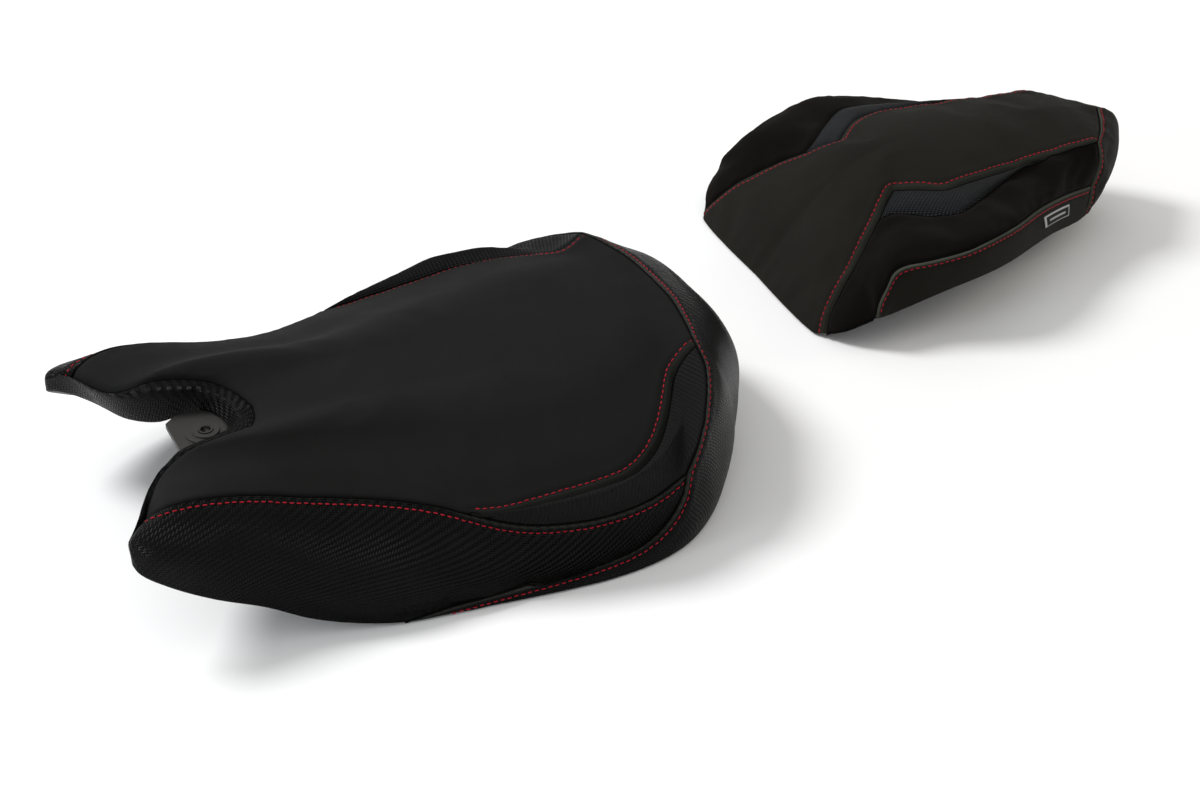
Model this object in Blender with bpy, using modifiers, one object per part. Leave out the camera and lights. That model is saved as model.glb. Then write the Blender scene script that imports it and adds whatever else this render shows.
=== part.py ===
"""A two-piece sport motorcycle seat: the rider seat and the passenger seat, side by side as they lie on a table.

Each seat is a plastic pan, a foam block and a sewn cover of several panels. Every panel is one patch between
its seam lines, so that neighbours share their seams. Lines are typed in millimetres in the seat's own frame:
x runs rearward, y to the bike's right and z up from the surface that the seats lie on. The bike's left side is
the mirror of its right side.
"""

import math

import bpy
import numpy as np

MM = 0.001
COVER = 1.6          # vinyl and fabric with their backing
GAP = 0.4            # clearance between neighbouring pieces
FOAM_GAP = 2.2       # clearance between the foam and its cover
PAN = 2.6            # wall of the moulded pans
PAN_TO_FOAM = 9.0    # from the underside of a pan to the underside of its foam
PAN_INSET = 0.8      # where a pan ends, as a share of the way from the base edge to the first ring inside it

BOLT_X = 85.0        # the front bolt, from the seat's own origin
BOLT_SLEEVE = 4.6    # outer radius of its steel sleeve
BOLT_HOLE = 3.3      # for an M6 bolt
SOLE = 0.5           # a cover's edge that comes this near the surface lies on it
PAD = 20.0           # diameter of a rubber pad
PAD_HEIGHT = 8.0

RIDER_AT = (-445.33, -42.42, 0.0)
PILLION_AT = (110.17, 79.88, 0.0)
PILLION_TURN = math.radians(-3.8)

COLOURS = {
    "top_fabric": ((0.016, 0.016, 0.015), 0.80, 0.0),
    "carbon_vinyl": ((0.012, 0.012, 0.013), 0.38, 0.0),
    "ribbed_mesh": ((0.010, 0.010, 0.011), 0.70, 0.0),
    "suede": ((0.014, 0.011, 0.009), 0.95, 0.0),
    "foam": ((0.050, 0.050, 0.052), 0.95, 0.0),
    "pan_plastic": ((0.060, 0.057, 0.053), 0.50, 0.0),
    "pad_rubber": ((0.012, 0.012, 0.012), 0.85, 0.0),
    "zinc_steel": ((0.55, 0.55, 0.53), 0.35, 1.0),
    "label_weave": ((0.62, 0.62, 0.60), 0.85, 0.0),
}


def clear_scene():
    for obj in list(bpy.data.objects):
        bpy.data.objects.remove(obj, do_unlink=True)
    for mesh in list(bpy.data.meshes):
        bpy.data.meshes.remove(mesh)


def collection(name):
    made = bpy.data.collections.new(name)
    bpy.context.scene.collection.children.link(made)
    return made


def material(name):
    made = bpy.data.materials.get(name)
    if made:
        return made
    colour, roughness, metallic = COLOURS[name]
    made = bpy.data.materials.new(name)
    made.use_nodes = True
    shader = made.node_tree.nodes["Principled BSDF"]
    shader.inputs["Base Color"].default_value = (*colour, 1.0)
    shader.inputs["Roughness"].default_value = roughness
    shader.inputs["Metallic"].default_value = metallic
    made.diffuse_color = (*colour, 1.0)
    return made


class Seat:
    """The empty that a seat's pieces hang from, and the way to add a piece to it."""

    def __init__(self, name, place, turn=0.0):
        self.name = name
        self.parts = collection(name)
        self.cutters = collection(name + "_cutters")
        self.origin = bpy.data.objects.new(name + "_origin", None)
        self.origin.location = [value * MM for value in place]
        self.origin.rotation_euler.z = turn
        self.parts.objects.link(self.origin)

    def add(self, name, points, faces, look, helper=False):
        mesh = bpy.data.meshes.new(name)
        mesh.from_pydata((np.asarray(points, float) * MM).tolist(), [], faces)
        mesh.validate()
        obj = bpy.data.objects.new(name, mesh)
        return self.keep(obj, look, helper)

    def keep(self, obj, look, helper=False):
        for owner in list(obj.users_collection):
            owner.objects.unlink(obj)
        (self.cutters if helper else self.parts).objects.link(obj)
        obj.parent = self.origin
        if helper:
            obj.hide_render = True
            obj.display_type = "WIRE"
        obj.data.materials.clear()
        obj.data.materials.append(material(look))
        return obj

    def cylinder(self, name, radius, height, base, look, helper=False, sides=24):
        bpy.ops.mesh.primitive_cylinder_add(vertices=sides, radius=radius * MM, depth=height * MM)
        obj = bpy.context.object
        obj.name = name
        obj.location = (base[0] * MM, base[1] * MM, (base[2] + height / 2) * MM)
        return self.keep(obj, look, helper)

    def box(self, name, size, centre, look, helper=False, bevel=0.0):
        bpy.ops.mesh.primitive_cube_add(size=1)
        obj = bpy.context.object
        obj.name = name
        obj.scale = [side * MM for side in size]
        obj.location = [value * MM for value in centre]
        bpy.ops.object.transform_apply(location=False, rotation=False, scale=True)
        if bevel:
            rounding = obj.modifiers.new("rounding", "BEVEL")
            rounding.width = bevel * MM
            rounding.segments = 2
        return self.keep(obj, look, helper)


def boolean(obj, tool, operation):
    cut = obj.modifiers.new(tool.name, "BOOLEAN")
    cut.operation = operation
    cut.solver = "EXACT"
    cut.object = tool


# ---------------------------------------------------------------- lines and patches


def line(points, steps):
    """A smooth line through points, cut into equal steps."""
    points = np.asarray(points, float)
    ends = np.vstack([2 * points[0] - points[1], points, 2 * points[-1] - points[-2]])
    fine = []
    for before, start, stop, after in zip(ends, ends[1:], ends[2:], ends[3:]):
        knots = [0.0]
        for one, two in ((before, start), (start, stop), (stop, after)):
            knots.append(knots[-1] + max(np.linalg.norm(two - one), 1e-6) ** 0.5)
        t0, t1, t2, t3 = knots
        for t in np.linspace(t1, t2, 16, endpoint=False):
            a1 = ((t1 - t) * before + (t - t0) * start) / (t1 - t0)
            a2 = ((t2 - t) * start + (t - t1) * stop) / (t2 - t1)
            a3 = ((t3 - t) * stop + (t - t2) * after) / (t3 - t2)
            b1 = ((t2 - t) * a1 + (t - t0) * a2) / (t2 - t0)
            b2 = ((t3 - t) * a2 + (t - t1) * a3) / (t3 - t1)
            fine.append(((t2 - t) * b1 + (t - t1) * b2) / (t2 - t1))
    fine = np.vstack([fine, points[-1]])
    run = np.concatenate([[0], np.cumsum(np.linalg.norm(np.diff(fine, axis=0), axis=1))])
    even = np.linspace(0, run[-1], steps + 1)
    return np.stack([np.interp(even, run, fine[:, axis]) for axis in range(3)], axis=1)


def joined(*lines):
    """Lines end to end, with each shared end kept once."""
    return np.vstack([lines[0]] + [other[1:] for other in lines[1:]])


def patch(front, rear, inner, outer, blend=None):
    """The surface between four lines. Its rows run along inner and outer, its columns along front and rear.

    blend(t) gives, for each column, how far the row has gone from inner to outer in x, y and z."""
    s = np.linspace(0, 1, len(inner))[:, None, None]
    t = np.linspace(0, 1, len(front))
    far = (np.repeat(t[:, None], 3, axis=1) if blend is None else blend(t))[None]

    def across(one, two):
        return one * (1 - far) + two * far

    ruled = across(inner[:, None], outer[:, None])
    at_front = front[None] - across(front[None, :1], front[None, -1:])
    at_rear = rear[None] - across(rear[None, :1], rear[None, -1:])
    return ruled + (1 - s) * at_front + s * at_rear


def swell(grid, push, along=None, peak=0.5):
    """The patch pushed out between its inner and outer lines, by as much as along gives for each row.

    The push is greatest at the share called peak of the way across."""
    lean = math.log(0.5) / math.log(peak)
    arch = np.sin(np.pi * np.linspace(0, 1, grid.shape[1]) ** lean)[None, :, None]
    if along is None:
        along = np.sin(np.pi * np.linspace(0, 1, grid.shape[0])) ** 0.5
    return grid + arch * np.asarray(along)[:, None, None] * np.asarray(push, float)


def powers(x, y, z):
    return lambda t: np.stack([t**x, t**y, t**z], axis=1)


def pan_blend(t):
    """Across half a pan: a level middle, a curved side and a level sole at the edge."""
    place = np.interp(t, [0, 0.6, 1], [0, 0.62, 1])
    fall = np.clip((place - 0.42) / 0.47, 0, 1)
    return np.stack([place**1.3, place, fall * fall * (3 - 2 * fall)], axis=1)


def mirrored(grid):
    return (grid * [1, -1, 1])[:, ::-1]


def whole(grid):
    """Both halves of a patch whose first column lies on the centre plane."""
    return np.concatenate([mirrored(grid), grid[:, 1:]], axis=1)


def point(place, steps):
    return np.repeat(np.array([place], float), steps + 1, axis=0)


# ---------------------------------------------------------------- solids from patches


def key(place):
    return tuple(np.round(place, 2) + 0.0)


def quads(rows, columns):
    for row in range(rows - 1):
        for column in range(columns - 1):
            first = row * columns + column
            yield first, first + 1, first + columns + 1, first + columns


def outward(grids):
    """The outward direction at every point of a closed set of patches, the same for all that share the point."""
    total = {}
    for grid in grids.values():
        flat = grid.reshape(-1, 3)
        for a, b, c, d in quads(*grid.shape[:2]):
            way = np.cross(flat[c] - flat[a], flat[d] - flat[b])
            way /= max(np.linalg.norm(way), 1e-9)
            for corner in (a, b, c, d):
                spot = key(flat[corner])
                total[spot] = total.get(spot, 0) + way
    return {spot: way / max(np.linalg.norm(way), 1e-9) for spot, way in total.items()}


def inset(grid, width, most=0.3):
    """The grid with its border drawn in by width, or by the share called most of its first ring's width."""
    moved = grid.copy()
    rows, columns = grid.shape[:2]
    for row in range(rows):
        for column in range(columns):
            inner = grid[min(max(row, 1), rows - 2), min(max(column, 1), columns - 2)]
            step = inner - grid[row, column]
            length = np.linalg.norm(step)
            if length > 1e-6:
                moved[row, column] += step * min(width / length, most)
    return moved


def closed(name, seat, upper, lower, look):
    """One solid between two grids of the same shape. Points that meet are made one."""
    rows, columns = upper.shape[:2]
    flat = np.vstack([upper.reshape(-1, 3), lower.reshape(-1, 3)])
    second = rows * columns
    faces = []
    for a, b, c, d in quads(rows, columns):
        faces += [(a, b, c), (a, c, d)]
        faces += [(second + a, second + c, second + b), (second + a, second + d, second + c)]
    rim = [column for column in range(columns)]
    rim += [row * columns + columns - 1 for row in range(1, rows)]
    rim += [(rows - 1) * columns + column for column in range(columns - 2, -1, -1)]
    rim += [row * columns for row in range(rows - 2, 0, -1)]
    for one, two in zip(rim, rim[1:] + rim[:1]):
        faces += [(one, second + one, second + two), (one, second + two, two)]
    return seat.add(name, *welded(flat, faces), look)


def welded(points, faces):
    """Points that lie at one place made one, and the faces that this closes up left out."""
    index, kept, turn = {}, [], []
    for place in points:
        spot = key(place)
        if spot not in index:
            index[spot] = len(kept)
            kept.append(place)
        turn.append(index[spot])
    whole_faces = []
    for face in faces:
        face = tuple(turn[corner] for corner in face)
        if len(set(face)) == 3:
            whole_faces.append(face)
    return kept, whole_faces


class Skin:
    """The closed outer surface of a seat, as patches that share their seams, and the solids cut from it."""

    def __init__(self, seat, halves, middles):
        self.seat = seat
        self.grids = {}
        for name, grid in middles.items():
            self.grids[name] = whole(grid)
        for name, grid in halves.items():
            self.grids[name + "_right"] = grid
            self.grids[name + "_left"] = mirrored(grid)
        self.out = outward(self.grids)

    def at(self, grid, depth):
        """The grid moved inward by depth."""
        flat = grid.reshape(-1, 3)
        step = np.array([self.out[key(place)] for place in flat]) * depth
        return (flat - step).reshape(grid.shape)

    def cover(self, name, look, seam=GAP, thick=COVER):
        """A cover panel: the patch drawn in at its seams, and given its thickness."""
        grid = self.grids[name]
        outer = inset(grid, seam, 0.7)
        inner = inset(self.at(grid, thick), seam + 0.3, 0.75)
        for face in (outer, inner):
            face[:, :, 2] = np.where(face[:, :, 2] < SOLE, 0, face[:, :, 2])
        return closed(self.seat.name + "_cover_" + name, self.seat, outer, inner, look)

    def foam(self):
        """The foam block: every patch moved in by the cover, with its underside raised inside the base edge."""
        points, faces = [], []
        for name, grid in self.grids.items():
            first = len(points)
            moved = self.at(grid, COVER + FOAM_GAP)
            if name == "bottom":
                moved[1:-1, 1:-1, 2] += PAN_TO_FOAM - COVER - FOAM_GAP
            moved[:, :, 2] = np.maximum(moved[:, :, 2], 0)
            points += list(moved.reshape(-1, 3))
            for a, b, c, d in quads(*grid.shape[:2]):
                faces += [(first + a, first + b, first + c), (first + a, first + c, first + d)]
        return self.seat.add(self.seat.name + "_foam", *welded(points, faces), "foam")

    def pan(self):
        """The moulded pan, under the foam and inside the wrapped edge of the cover."""
        under = inset(self.grids["bottom"], math.inf, PAN_INSET)
        return closed(self.seat.name + "_pan", self.seat, under, under + [0, 0, PAN], "pan_plastic")

    def on_patch(self, name, row, column):
        """The point at a fractional row and column of a patch, and the outward direction there."""
        grid = self.grids[name]
        rows, columns = grid.shape[:2]
        r, c = min(int(row), rows - 2), min(int(column), columns - 2)
        place, out = 0, 0
        for i, j, share in ((0, 0, (1 - row + r) * (1 - column + c)), (0, 1, (1 - row + r) * (column - c)),
                            (1, 0, (row - r) * (1 - column + c)), (1, 1, (row - r) * (column - c))):
            place = place + share * grid[r + i, c + j]
            out = out + share * self.out[key(grid[r + i, c + j])]
        return place, out / np.linalg.norm(out)


# ---------------------------------------------------------------- the rider seat


def rider_skin(seat):
    """Seam lines first, each running from the front to the rear or from the middle to the right."""
    ahead, behind, half, short, low, wrap = 6, 5, 6, 3, 4, 4
    horn = (22.6, 84.6, 80)
    tip = (7, 101, 66)
    fork = (203.5, 132, 55)
    shoulder = (388, 79, 100)
    junction = (348, 147, 43)
    taper = (216, 155, 0)
    crown = (402, 0, 102.5)
    notch = (110, 0, 91)
    notch_foot = (97, 0, 74)
    tail = (449, 0, 27)

    side_seam = line([horn, (32, 92, 84), (60, 99, 86.7), (90, 101, 81), (120, 103, 72.5),
                      (150, 109, 64), (187, 123, 57), fork], ahead)
    lower_seam = line([fork, (224, 141, 48), (245, 148, 43), (285, 153, 38.5), (320, 152, 39), junction], behind)
    upper_seam = line([fork, (240, 134, 58), (285, 138, 61), (317, 136, 65), (345, 113, 74),
                       (362, 90, 85), (371, 81, 91), shoulder], behind)
    rear_seam = line([crown, (400, 30, 102.5), (395, 58, 101.5), shoulder], half)
    corner_seam = line([shoulder, (391, 92, 89), (379, 115, 77), (362, 139, 58), junction], short)
    wrap_seam = line([junction, (345, 151, 25), (330, 157, 14.5), (305, 162, 9.5), (285, 162.5, 7.5),
                      (252, 160, 4), taper], low)
    notch_rim = line([notch, (107, 20, 92.5), (96, 36, 94), (78, 42, 92.5), (58, 45, 88),
                      (42, 52, 83.5), (31, 67, 81), horn], half)
    notch_base = line([notch_foot, (94, 20, 74), (82, 32, 69), (66, 38, 61), (47, 50, 62),
                       (32, 74, 65.5), (17, 92, 68.5), tip], half)
    beak = line([horn, (14, 92, 81), (8, 98, 78), tip], low)
    side_base = line([tip, (11, 108, 60), (25, 114, 50), (48, 121, 38), (77, 126, 25), (101, 133, 13),
                      (127, 140, 5), (155, 148, 1), (185, 152, 0), taper], ahead + behind)
    rear_base = line([tail, (446, 33, 22), (433, 58, 12), (414, 87, 7), (392, 117, 4), (370, 139, 1),
                      (346, 155, 0), (321, 163, 0), (286, 165.5, 0), (245, 161, 0), taper], half + short + low)
    spine = line([notch, (125, 0, 89), (155, 0, 86), (200, 0, 82), (245, 0, 80), (290, 0, 82),
                  (335, 0, 89), (375, 0, 98), crown], ahead + behind)
    tail_line = line([crown, (421, 0, 94), (442, 0, 68), (452, 0, 45), tail], wrap)
    notch_line = line([notch, (104, 0, 84), notch_foot], low)
    keel = line([notch_foot, (112, 0, 72), (150, 0, 60), (230, 0, 45), (340, 0, 36), tail],
                ahead + behind + low + short)

    band_seam = joined(rear_seam, corner_seam, wrap_seam)
    base = joined(side_base, rear_base[::-1][: low + short + 1])
    band = patch(tail_line, point(taper, wrap), band_seam, rear_base)
    fullness = np.interp(np.linspace(0, 1, len(band)), [0, 0.05, 0.22, 0.46, 0.6, 0.7], [0, 2, 6, 4, 1, 0])
    side = swell(patch(beak, wrap_seam, joined(side_seam, lower_seam), side_base), (0, 5, 0))
    horn_rows = np.interp(np.arange(len(side)), [0, 1, 2, 3, 4, 5], [0, 0.7, 0.7, 0.45, 0.2, 0])
    halves = {
        "insert": swell(patch(point(fork, short), corner_seam, upper_seam, lower_seam), (3, 10, 10))[::-1],
        "side": swell(side, (-2, 4, 11), horn_rows, peak=0.3)[::-1],
    }
    middles = {
        "top": patch(notch_rim, rear_seam, spine, joined(side_seam, upper_seam), powers(1.5, 1, 2.3))[::-1],
        "rear_band": swell(band, (0.8, 0.5, 0.5), fullness, peak=0.4).transpose(1, 0, 2)[::-1],
        "notch_lining": patch(notch_line, beak, notch_rim, notch_base).transpose(1, 0, 2),
        "bottom": patch(notch_base, rear_base[: half + 1], keel, base, pan_blend),
    }
    return Skin(seat, halves, middles)


def front_tab(seat, pan):
    """The tab that the seat's front bolt goes through: part of the pan, with raised rings round its hole."""
    reach, width, level, thick = (65, 114), 54, 67.0, 3.8
    length = reach[1] - reach[0]
    tab = seat.box("tab_form", (length, width, thick), (sum(reach) / 2, 0, level + thick / 2),
                   "pan_plastic", helper=True)
    for corner in (-1, 1):
        trim = seat.box(f"tab_trim_{corner}", (60, 30, 20), (114, corner * 35, level), "pan_plastic", helper=True)
        trim.rotation_euler.z = corner * math.radians(-32)
        boolean(tab, trim, "DIFFERENCE")
    for corner in (-1, 1):
        nose = seat.box(f"tab_nose_{corner}", (24, 30, 20), (60, corner * 36, level), "pan_plastic", helper=True)
        nose.rotation_euler.z = corner * math.radians(40)
        boolean(tab, nose, "DIFFERENCE")
    boolean(pan, tab, "UNION")
    for name, radius, height in (("outer_ring", 13, 1.2), ("inner_ring", 8.5, 2.2)):
        ring = seat.cylinder(name, radius, height + 1, (BOLT_X, 0, level + thick - 1), "pan_plastic", True, 32)
        boolean(pan, ring, "UNION")
    hole = seat.cylinder("bolt_hole", BOLT_SLEEVE + 0.3, 30, (BOLT_X, 0, level - 12), "pan_plastic", True, 32)
    boolean(pan, hole, "DIFFERENCE")
    sleeve = seat.cylinder(seat.name + "_bolt_sleeve", BOLT_SLEEVE, 6.6, (BOLT_X, 0, level), "zinc_steel", sides=32)
    bore = seat.cylinder("sleeve_bore", BOLT_HOLE, 30, (BOLT_X, 0, level - 12), "zinc_steel", True, 32)
    boolean(sleeve, bore, "DIFFERENCE")


def pan_height(skin, x, y, reach=0.0):
    """Height of the pan's underside at a place, or the least height within reach of it along x and y."""
    grid = skin.grids["bottom"]
    flat = grid.reshape(-1, 3)
    corners = [(x + i * reach, y + j * reach) for i in (-1, 0, 1) for j in (-1, 0, 1)]
    heights = []
    for a, b, c, d in quads(*grid.shape[:2]):
        for triangle in ((a, b, c), (a, c, d)):
            one, two, three = flat[list(triangle)]
            frame = np.array([two[:2] - one[:2], three[:2] - one[:2]]).T
            if abs(np.linalg.det(frame)) < 1e-9:
                continue
            for corner in corners:
                u, v = np.linalg.solve(frame, corner - one[:2])
                if u >= 0 and v >= 0 and u + v <= 1:
                    heights.append(one[2] + u * (two[2] - one[2]) + v * (three[2] - one[2]))
    return min(heights)


def rubber_pads(skin, pan, places):
    """Bosses moulded under the pan, each with a rubber pad pushed onto it."""
    seat = skin.seat
    for name, x, y in places:
        under = pan_height(skin, x, y, PAD / 2)
        boss = seat.cylinder(f"boss_{name}", PAD / 2 + 1, 5.0, (x, y, under - 3), "pan_plastic", True)
        boolean(pan, boss, "UNION")
        base = (x, y, under - 3 - GAP - PAD_HEIGHT)
        seat.cylinder(f"{seat.name}_pad_{name}", PAD / 2, PAD_HEIGHT, base, "pad_rubber")


def tongue(seat, pan, name, heel, reach, drop, look):
    """A flat hook under the pan: a foot against the pan, a leg down and a tongue along x."""
    x, y, top = heel
    width, thick = 26, 3
    foot = seat.box(name, (24, width, thick), (x, y, top - thick / 2), look)
    leg = seat.box(name + "_leg", (thick, width, drop), (x, y, top - drop / 2), look, helper=True)
    blade = seat.box(name + "_blade", (abs(reach), width, thick),
                     (x + reach / 2 - math.copysign(thick / 2, reach), y, top - drop + thick / 2), look, helper=True)
    boolean(foot, leg, "UNION")
    boolean(foot, blade, "UNION")
    return foot


def rider_seat():
    seat = Seat("rider", RIDER_AT)
    skin = rider_skin(seat)
    skin.cover("top", "top_fabric", 3.8, 0.9)
    skin.cover("rear_band", "carbon_vinyl", 3.0)
    skin.cover("notch_lining", "carbon_vinyl", 4.6, 0.6)
    for side in ("left", "right"):
        skin.cover(f"side_{side}", "carbon_vinyl", 1.6)
        skin.cover(f"insert_{side}", "ribbed_mesh", GAP, 0.8)
    skin.foam()
    pan = skin.pan()
    front_tab(seat, pan)
    rubber_pads(skin, pan, [("front_left", 190, -62), ("front_right", 190, 62),
                            ("rear_left", 345, -62), ("rear_right", 345, 62)])
    for side, y in (("left", -45), ("right", 45)):
        heel = (392, y, pan_height(skin, 392, y, 14) - GAP)
        tongue(seat, pan, f"rider_rear_tongue_{side}", heel, 44, 12, "zinc_steel")


# ---------------------------------------------------------------- the passenger seat


def pillion_skin(seat):
    rise, run, tail_run, wide, short, nose, wrap, skirt = 4, 5, 2, 6, 3, 2, 4, 2
    band_rows = rise + run + tail_run - skirt
    foot = (0, 105, 0.5)
    waist = (90, 38.5, 77)
    insert_start = (68, 52, 67.5)
    insert_end = (224, 52, 87.5)
    crown = (303, 0, 88)
    cap_top = (265, 50, 88)
    cap_mid = (262, 57, 52)
    cap_foot = (262, 57, 24)
    skirt_start = (31, 131, 26)
    front = (0, 0, 0)
    tail = (308, 0, 18)

    front_seam = line([foot, (11.3, 90.4, 18), (26, 80.5, 35), (40.4, 70.5, 48.6), (58.3, 58.2, 61.7),
                       insert_start], rise)
    nose_seam = line([insert_start, (80, 43.5, 73.5), waist], nose)
    top_seam = line([waist, (99.4, 44, 80), (112.9, 54, 82), (124.2, 61.5, 84), (143.6, 61, 86),
                     (168.4, 58.9, 87.5), (200, 54.5, 87.7), insert_end], run)
    end_seam = line([insert_end, (245, 50, 88), cap_top], tail_run)
    insert_seam = line([insert_start, (80, 64, 69.5), (101, 83, 72.5), (120, 94.5, 77), (133, 91, 78.5),
                        (160, 78, 80.5), (195, 63, 84), insert_end], run)
    skirt_seam = line([skirt_start, (35, 128, 36), (42.5, 125, 43), (55.7, 120, 52.5), (79, 127.5, 59),
                       (104, 132.5, 64.5), (118, 130.5, 67.5), (150, 120, 69.5), (188, 98, 67), (225, 77, 60.5),
                       cap_mid], band_rows)
    cap_seam = line([crown, (291, 22, 87), (279, 39, 87.5), cap_top], wide)
    cap_side = line([cap_top, (266.5, 55, 73), cap_mid], short)
    cap_low = line([cap_mid, (263, 58.5, 38), cap_foot], short)
    front_base = line([front, (-1, 52, 0), foot], wide)
    side_base = line([foot, (15, 119, 11), skirt_start], skirt)
    skirt_base = line([skirt_start, (42, 130, 25), (56, 128.5, 26), (85, 132.5, 36), (119, 133, 43),
                       (150, 123, 43), (186, 104, 41), (218, 83, 34), (240, 70, 28), cap_foot], band_rows)
    tail_base = line([tail, (302, 18, 19), (288, 34, 21), (273, 48, 23.5), cap_foot], wide + 2 * short)
    spine = line([front, (30, 0, 37), (62, 0, 66), (92, 0, 84), (125, 0, 92), (180, 0, 95), (250, 0, 94),
                  crown], rise + nose + run + tail_run)
    tail_line = line([crown, (319, 0, 79), (327.5, 0, 62), (323, 0, 38), tail], wrap)
    keel = line([front, (22, 0, 5), (60, 0, 24), (150, 0, 28), (250, 0, 26), tail],
                rise + run + tail_run + 2 * short)

    main_top = joined(front_seam, insert_seam, end_seam)
    main_low = joined(side_base, skirt_seam)
    cap_line = joined(cap_seam, cap_side, cap_low)
    base = joined(side_base, skirt_base, tail_base[::-1][: 2 * short + 1])
    cap = patch(tail_line, point(cap_foot, wrap), cap_line, tail_base)
    fullness = np.interp(np.linspace(0, 1, len(cap)), [0, 0.15, 0.45, 0.8, 1], [0, 3, 5, 2.5, 0])
    shoulder_rows = np.interp(np.arange(len(main_top)), [0, 1, 2, 4, 8, 11], [0, 0.8, 1, 0.8, 0.3, 0])
    halves = {
        "upper_insert": swell(patch(nose_seam[::-1], point(insert_end, nose), top_seam, insert_seam), (0, 2, 2))[::-1],
        "main_insert": swell(patch(point(foot, short), cap_side, main_top, main_low), (0, 4, 9),
                             shoulder_rows, peak=0.6)[::-1],
        "lower_band": swell(patch(point(skirt_start, short), cap_low, skirt_seam, skirt_base), (0, 2, 0))[::-1],
    }
    middles = {
        "top": patch(front_base, cap_seam, spine, joined(front_seam, nose_seam, top_seam, end_seam),
                     powers(1.5, 1, 2.4))[::-1],
        "rear_cap": swell(cap, (-0.6, 0.6, 0.4), fullness).transpose(1, 0, 2)[::-1],
        "bottom": patch(front_base, tail_base[: wide + 1], keel, base, pan_blend),
    }
    return Skin(seat, halves, middles)


def latch_striker(skin):
    """The wire loop that the lock under the tail grips. Off the motorcycle, the seat's rear stands on it."""
    seat = skin.seat
    x, top, radius = 205, pan_height(skin, 205, 0, 22) - GAP, 2.5
    width, depth = 26, top - 1
    plate = seat.box("pillion_latch_striker", (34, 44, 2), (x, 0, top - 1), "zinc_steel")
    for y in (-width / 2, width / 2):
        post = seat.cylinder(f"striker_post_{y:.0f}", radius, depth, (x, y, top - 1 - depth), "zinc_steel", True, 16)
        boolean(plate, post, "UNION")
    bar = seat.cylinder("striker_bar", radius, width + 2 * radius, (0, 0, 0), "zinc_steel", True, 16)
    bar.rotation_euler.x = math.pi / 2
    bar.location = (x * MM, 0, (top - 1 - depth + radius) * MM)
    boolean(plate, bar, "UNION")


def side_label(skin):
    """A plain woven label on the left lower band, just below its seam."""
    rows, columns = np.linspace(2.15, 0.6, 5), np.linspace(1.25, 2.4, 3)
    below, above = [], []
    for row in rows:
        spots = [skin.on_patch("lower_band_left", row, column) for column in columns]
        below.append([place + (GAP + 0.2) * out for place, out in spots])
        above.append([place + (GAP + 1.0) * out for place, out in spots])
    above, below = np.array(above)[::-1], np.array(below)[::-1]
    closed("pillion_side_label", skin.seat, above, below, "label_weave")


def pillion_seat():
    seat = Seat("pillion", PILLION_AT, PILLION_TURN)
    skin = pillion_skin(seat)
    skin.cover("top", "top_fabric")
    skin.cover("rear_cap", "top_fabric")
    for side in ("left", "right"):
        skin.cover(f"upper_insert_{side}", "ribbed_mesh", 0.8)
        skin.cover(f"main_insert_{side}", "suede")
        skin.cover(f"lower_band_{side}", "top_fabric")
    skin.foam()
    pan = skin.pan()
    rubber_pads(skin, pan, [("front_left", 95, -38), ("front_right", 95, 38),
                            ("rear_left", 258, -26), ("rear_right", 258, 26)])
    for side, y in (("left", -30), ("right", 30)):
        heel = (72, y, pan_height(skin, 72, y, 14) - GAP)
        tongue(seat, pan, f"pillion_front_tongue_{side}", heel, -34, 14, "zinc_steel")
    latch_striker(skin)
    side_label(skin)


clear_scene()
rider_seat()
pillion_seat()
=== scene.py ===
"""Looks of a two-piece sport motorcycle seat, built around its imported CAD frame.

Each seat's cover is a set of sewn panels. A panel is a patch between its seam lines, finely divided, puffed
by a cloth simulation, rolled down into its seams and wrapped under the pan. Lines are in millimetres in the
seat's own frame: x rearward, y to the bike's right, z up from the floor. The left side mirrors the right.
"""

import math

import bpy
import numpy as np
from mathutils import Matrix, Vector
from mathutils.bvhtree import BVHTree
from mathutils.kdtree import KDTree


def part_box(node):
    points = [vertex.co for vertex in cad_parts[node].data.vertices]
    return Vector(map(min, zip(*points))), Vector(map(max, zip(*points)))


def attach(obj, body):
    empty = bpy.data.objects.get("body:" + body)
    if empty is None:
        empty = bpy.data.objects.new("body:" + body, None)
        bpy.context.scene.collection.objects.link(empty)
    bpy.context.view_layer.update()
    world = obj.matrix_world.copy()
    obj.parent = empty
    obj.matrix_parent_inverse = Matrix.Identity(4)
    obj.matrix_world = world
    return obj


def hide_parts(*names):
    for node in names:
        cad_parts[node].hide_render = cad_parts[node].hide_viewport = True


MM = 0.001
BOLT_X = 85.0              # the front bolt, from the rider seat's own origin
PADS_X = 95.0              # the passenger seat's front pads, from its own origin
SEAM_DEPTH = 1.9           # how far a panel's edge sinks at a seam
MEETING = 2.5              # panels whose edges are this close meet there
SEAM_BLEND = 6.0           # how far from a seam the panels share one outward direction
HEM_WIDTH = 24.0           # the cover's edge under the pan
HEM_SHARE = 0.44           # of the way across the pan, where the pan is narrow
HEM_STEPS = np.array([0.035, 0.07, 0.11, 0.16, 0.22, 0.3, 0.4, 0.52, 0.66, 0.82, 1.0])
HEM_ROLL = 2.2             # radius of the fold round the pan's edge
HEM_LIFT = 0.7             # the hem's outer face under the pan
CELL = 4.2                 # spacing of a panel's points away from its seams
EDGE_STEPS = (0, 0.5, 1.0, 1.6, 2.3, 3.1, 4.0, 5.1, 6.5, 8.2, 10.5, 13.5)
SINK_WIDTH = 1.7           # how far the dip at a seam reaches
RIPPLE = 0.2               # the fabric's unevenness beside a seam
RIDGE = 0.75               # height of the fold beside a seam
STITCH_PITCH = 4.4
STITCH_LENGTH = 3.0
STITCH_RADIUS = 0.38
STITCH_RINGS = 7           # rings of points along a stitch
STITCH_DIP = 0.4           # how far the thread draws the fabric down
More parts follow.
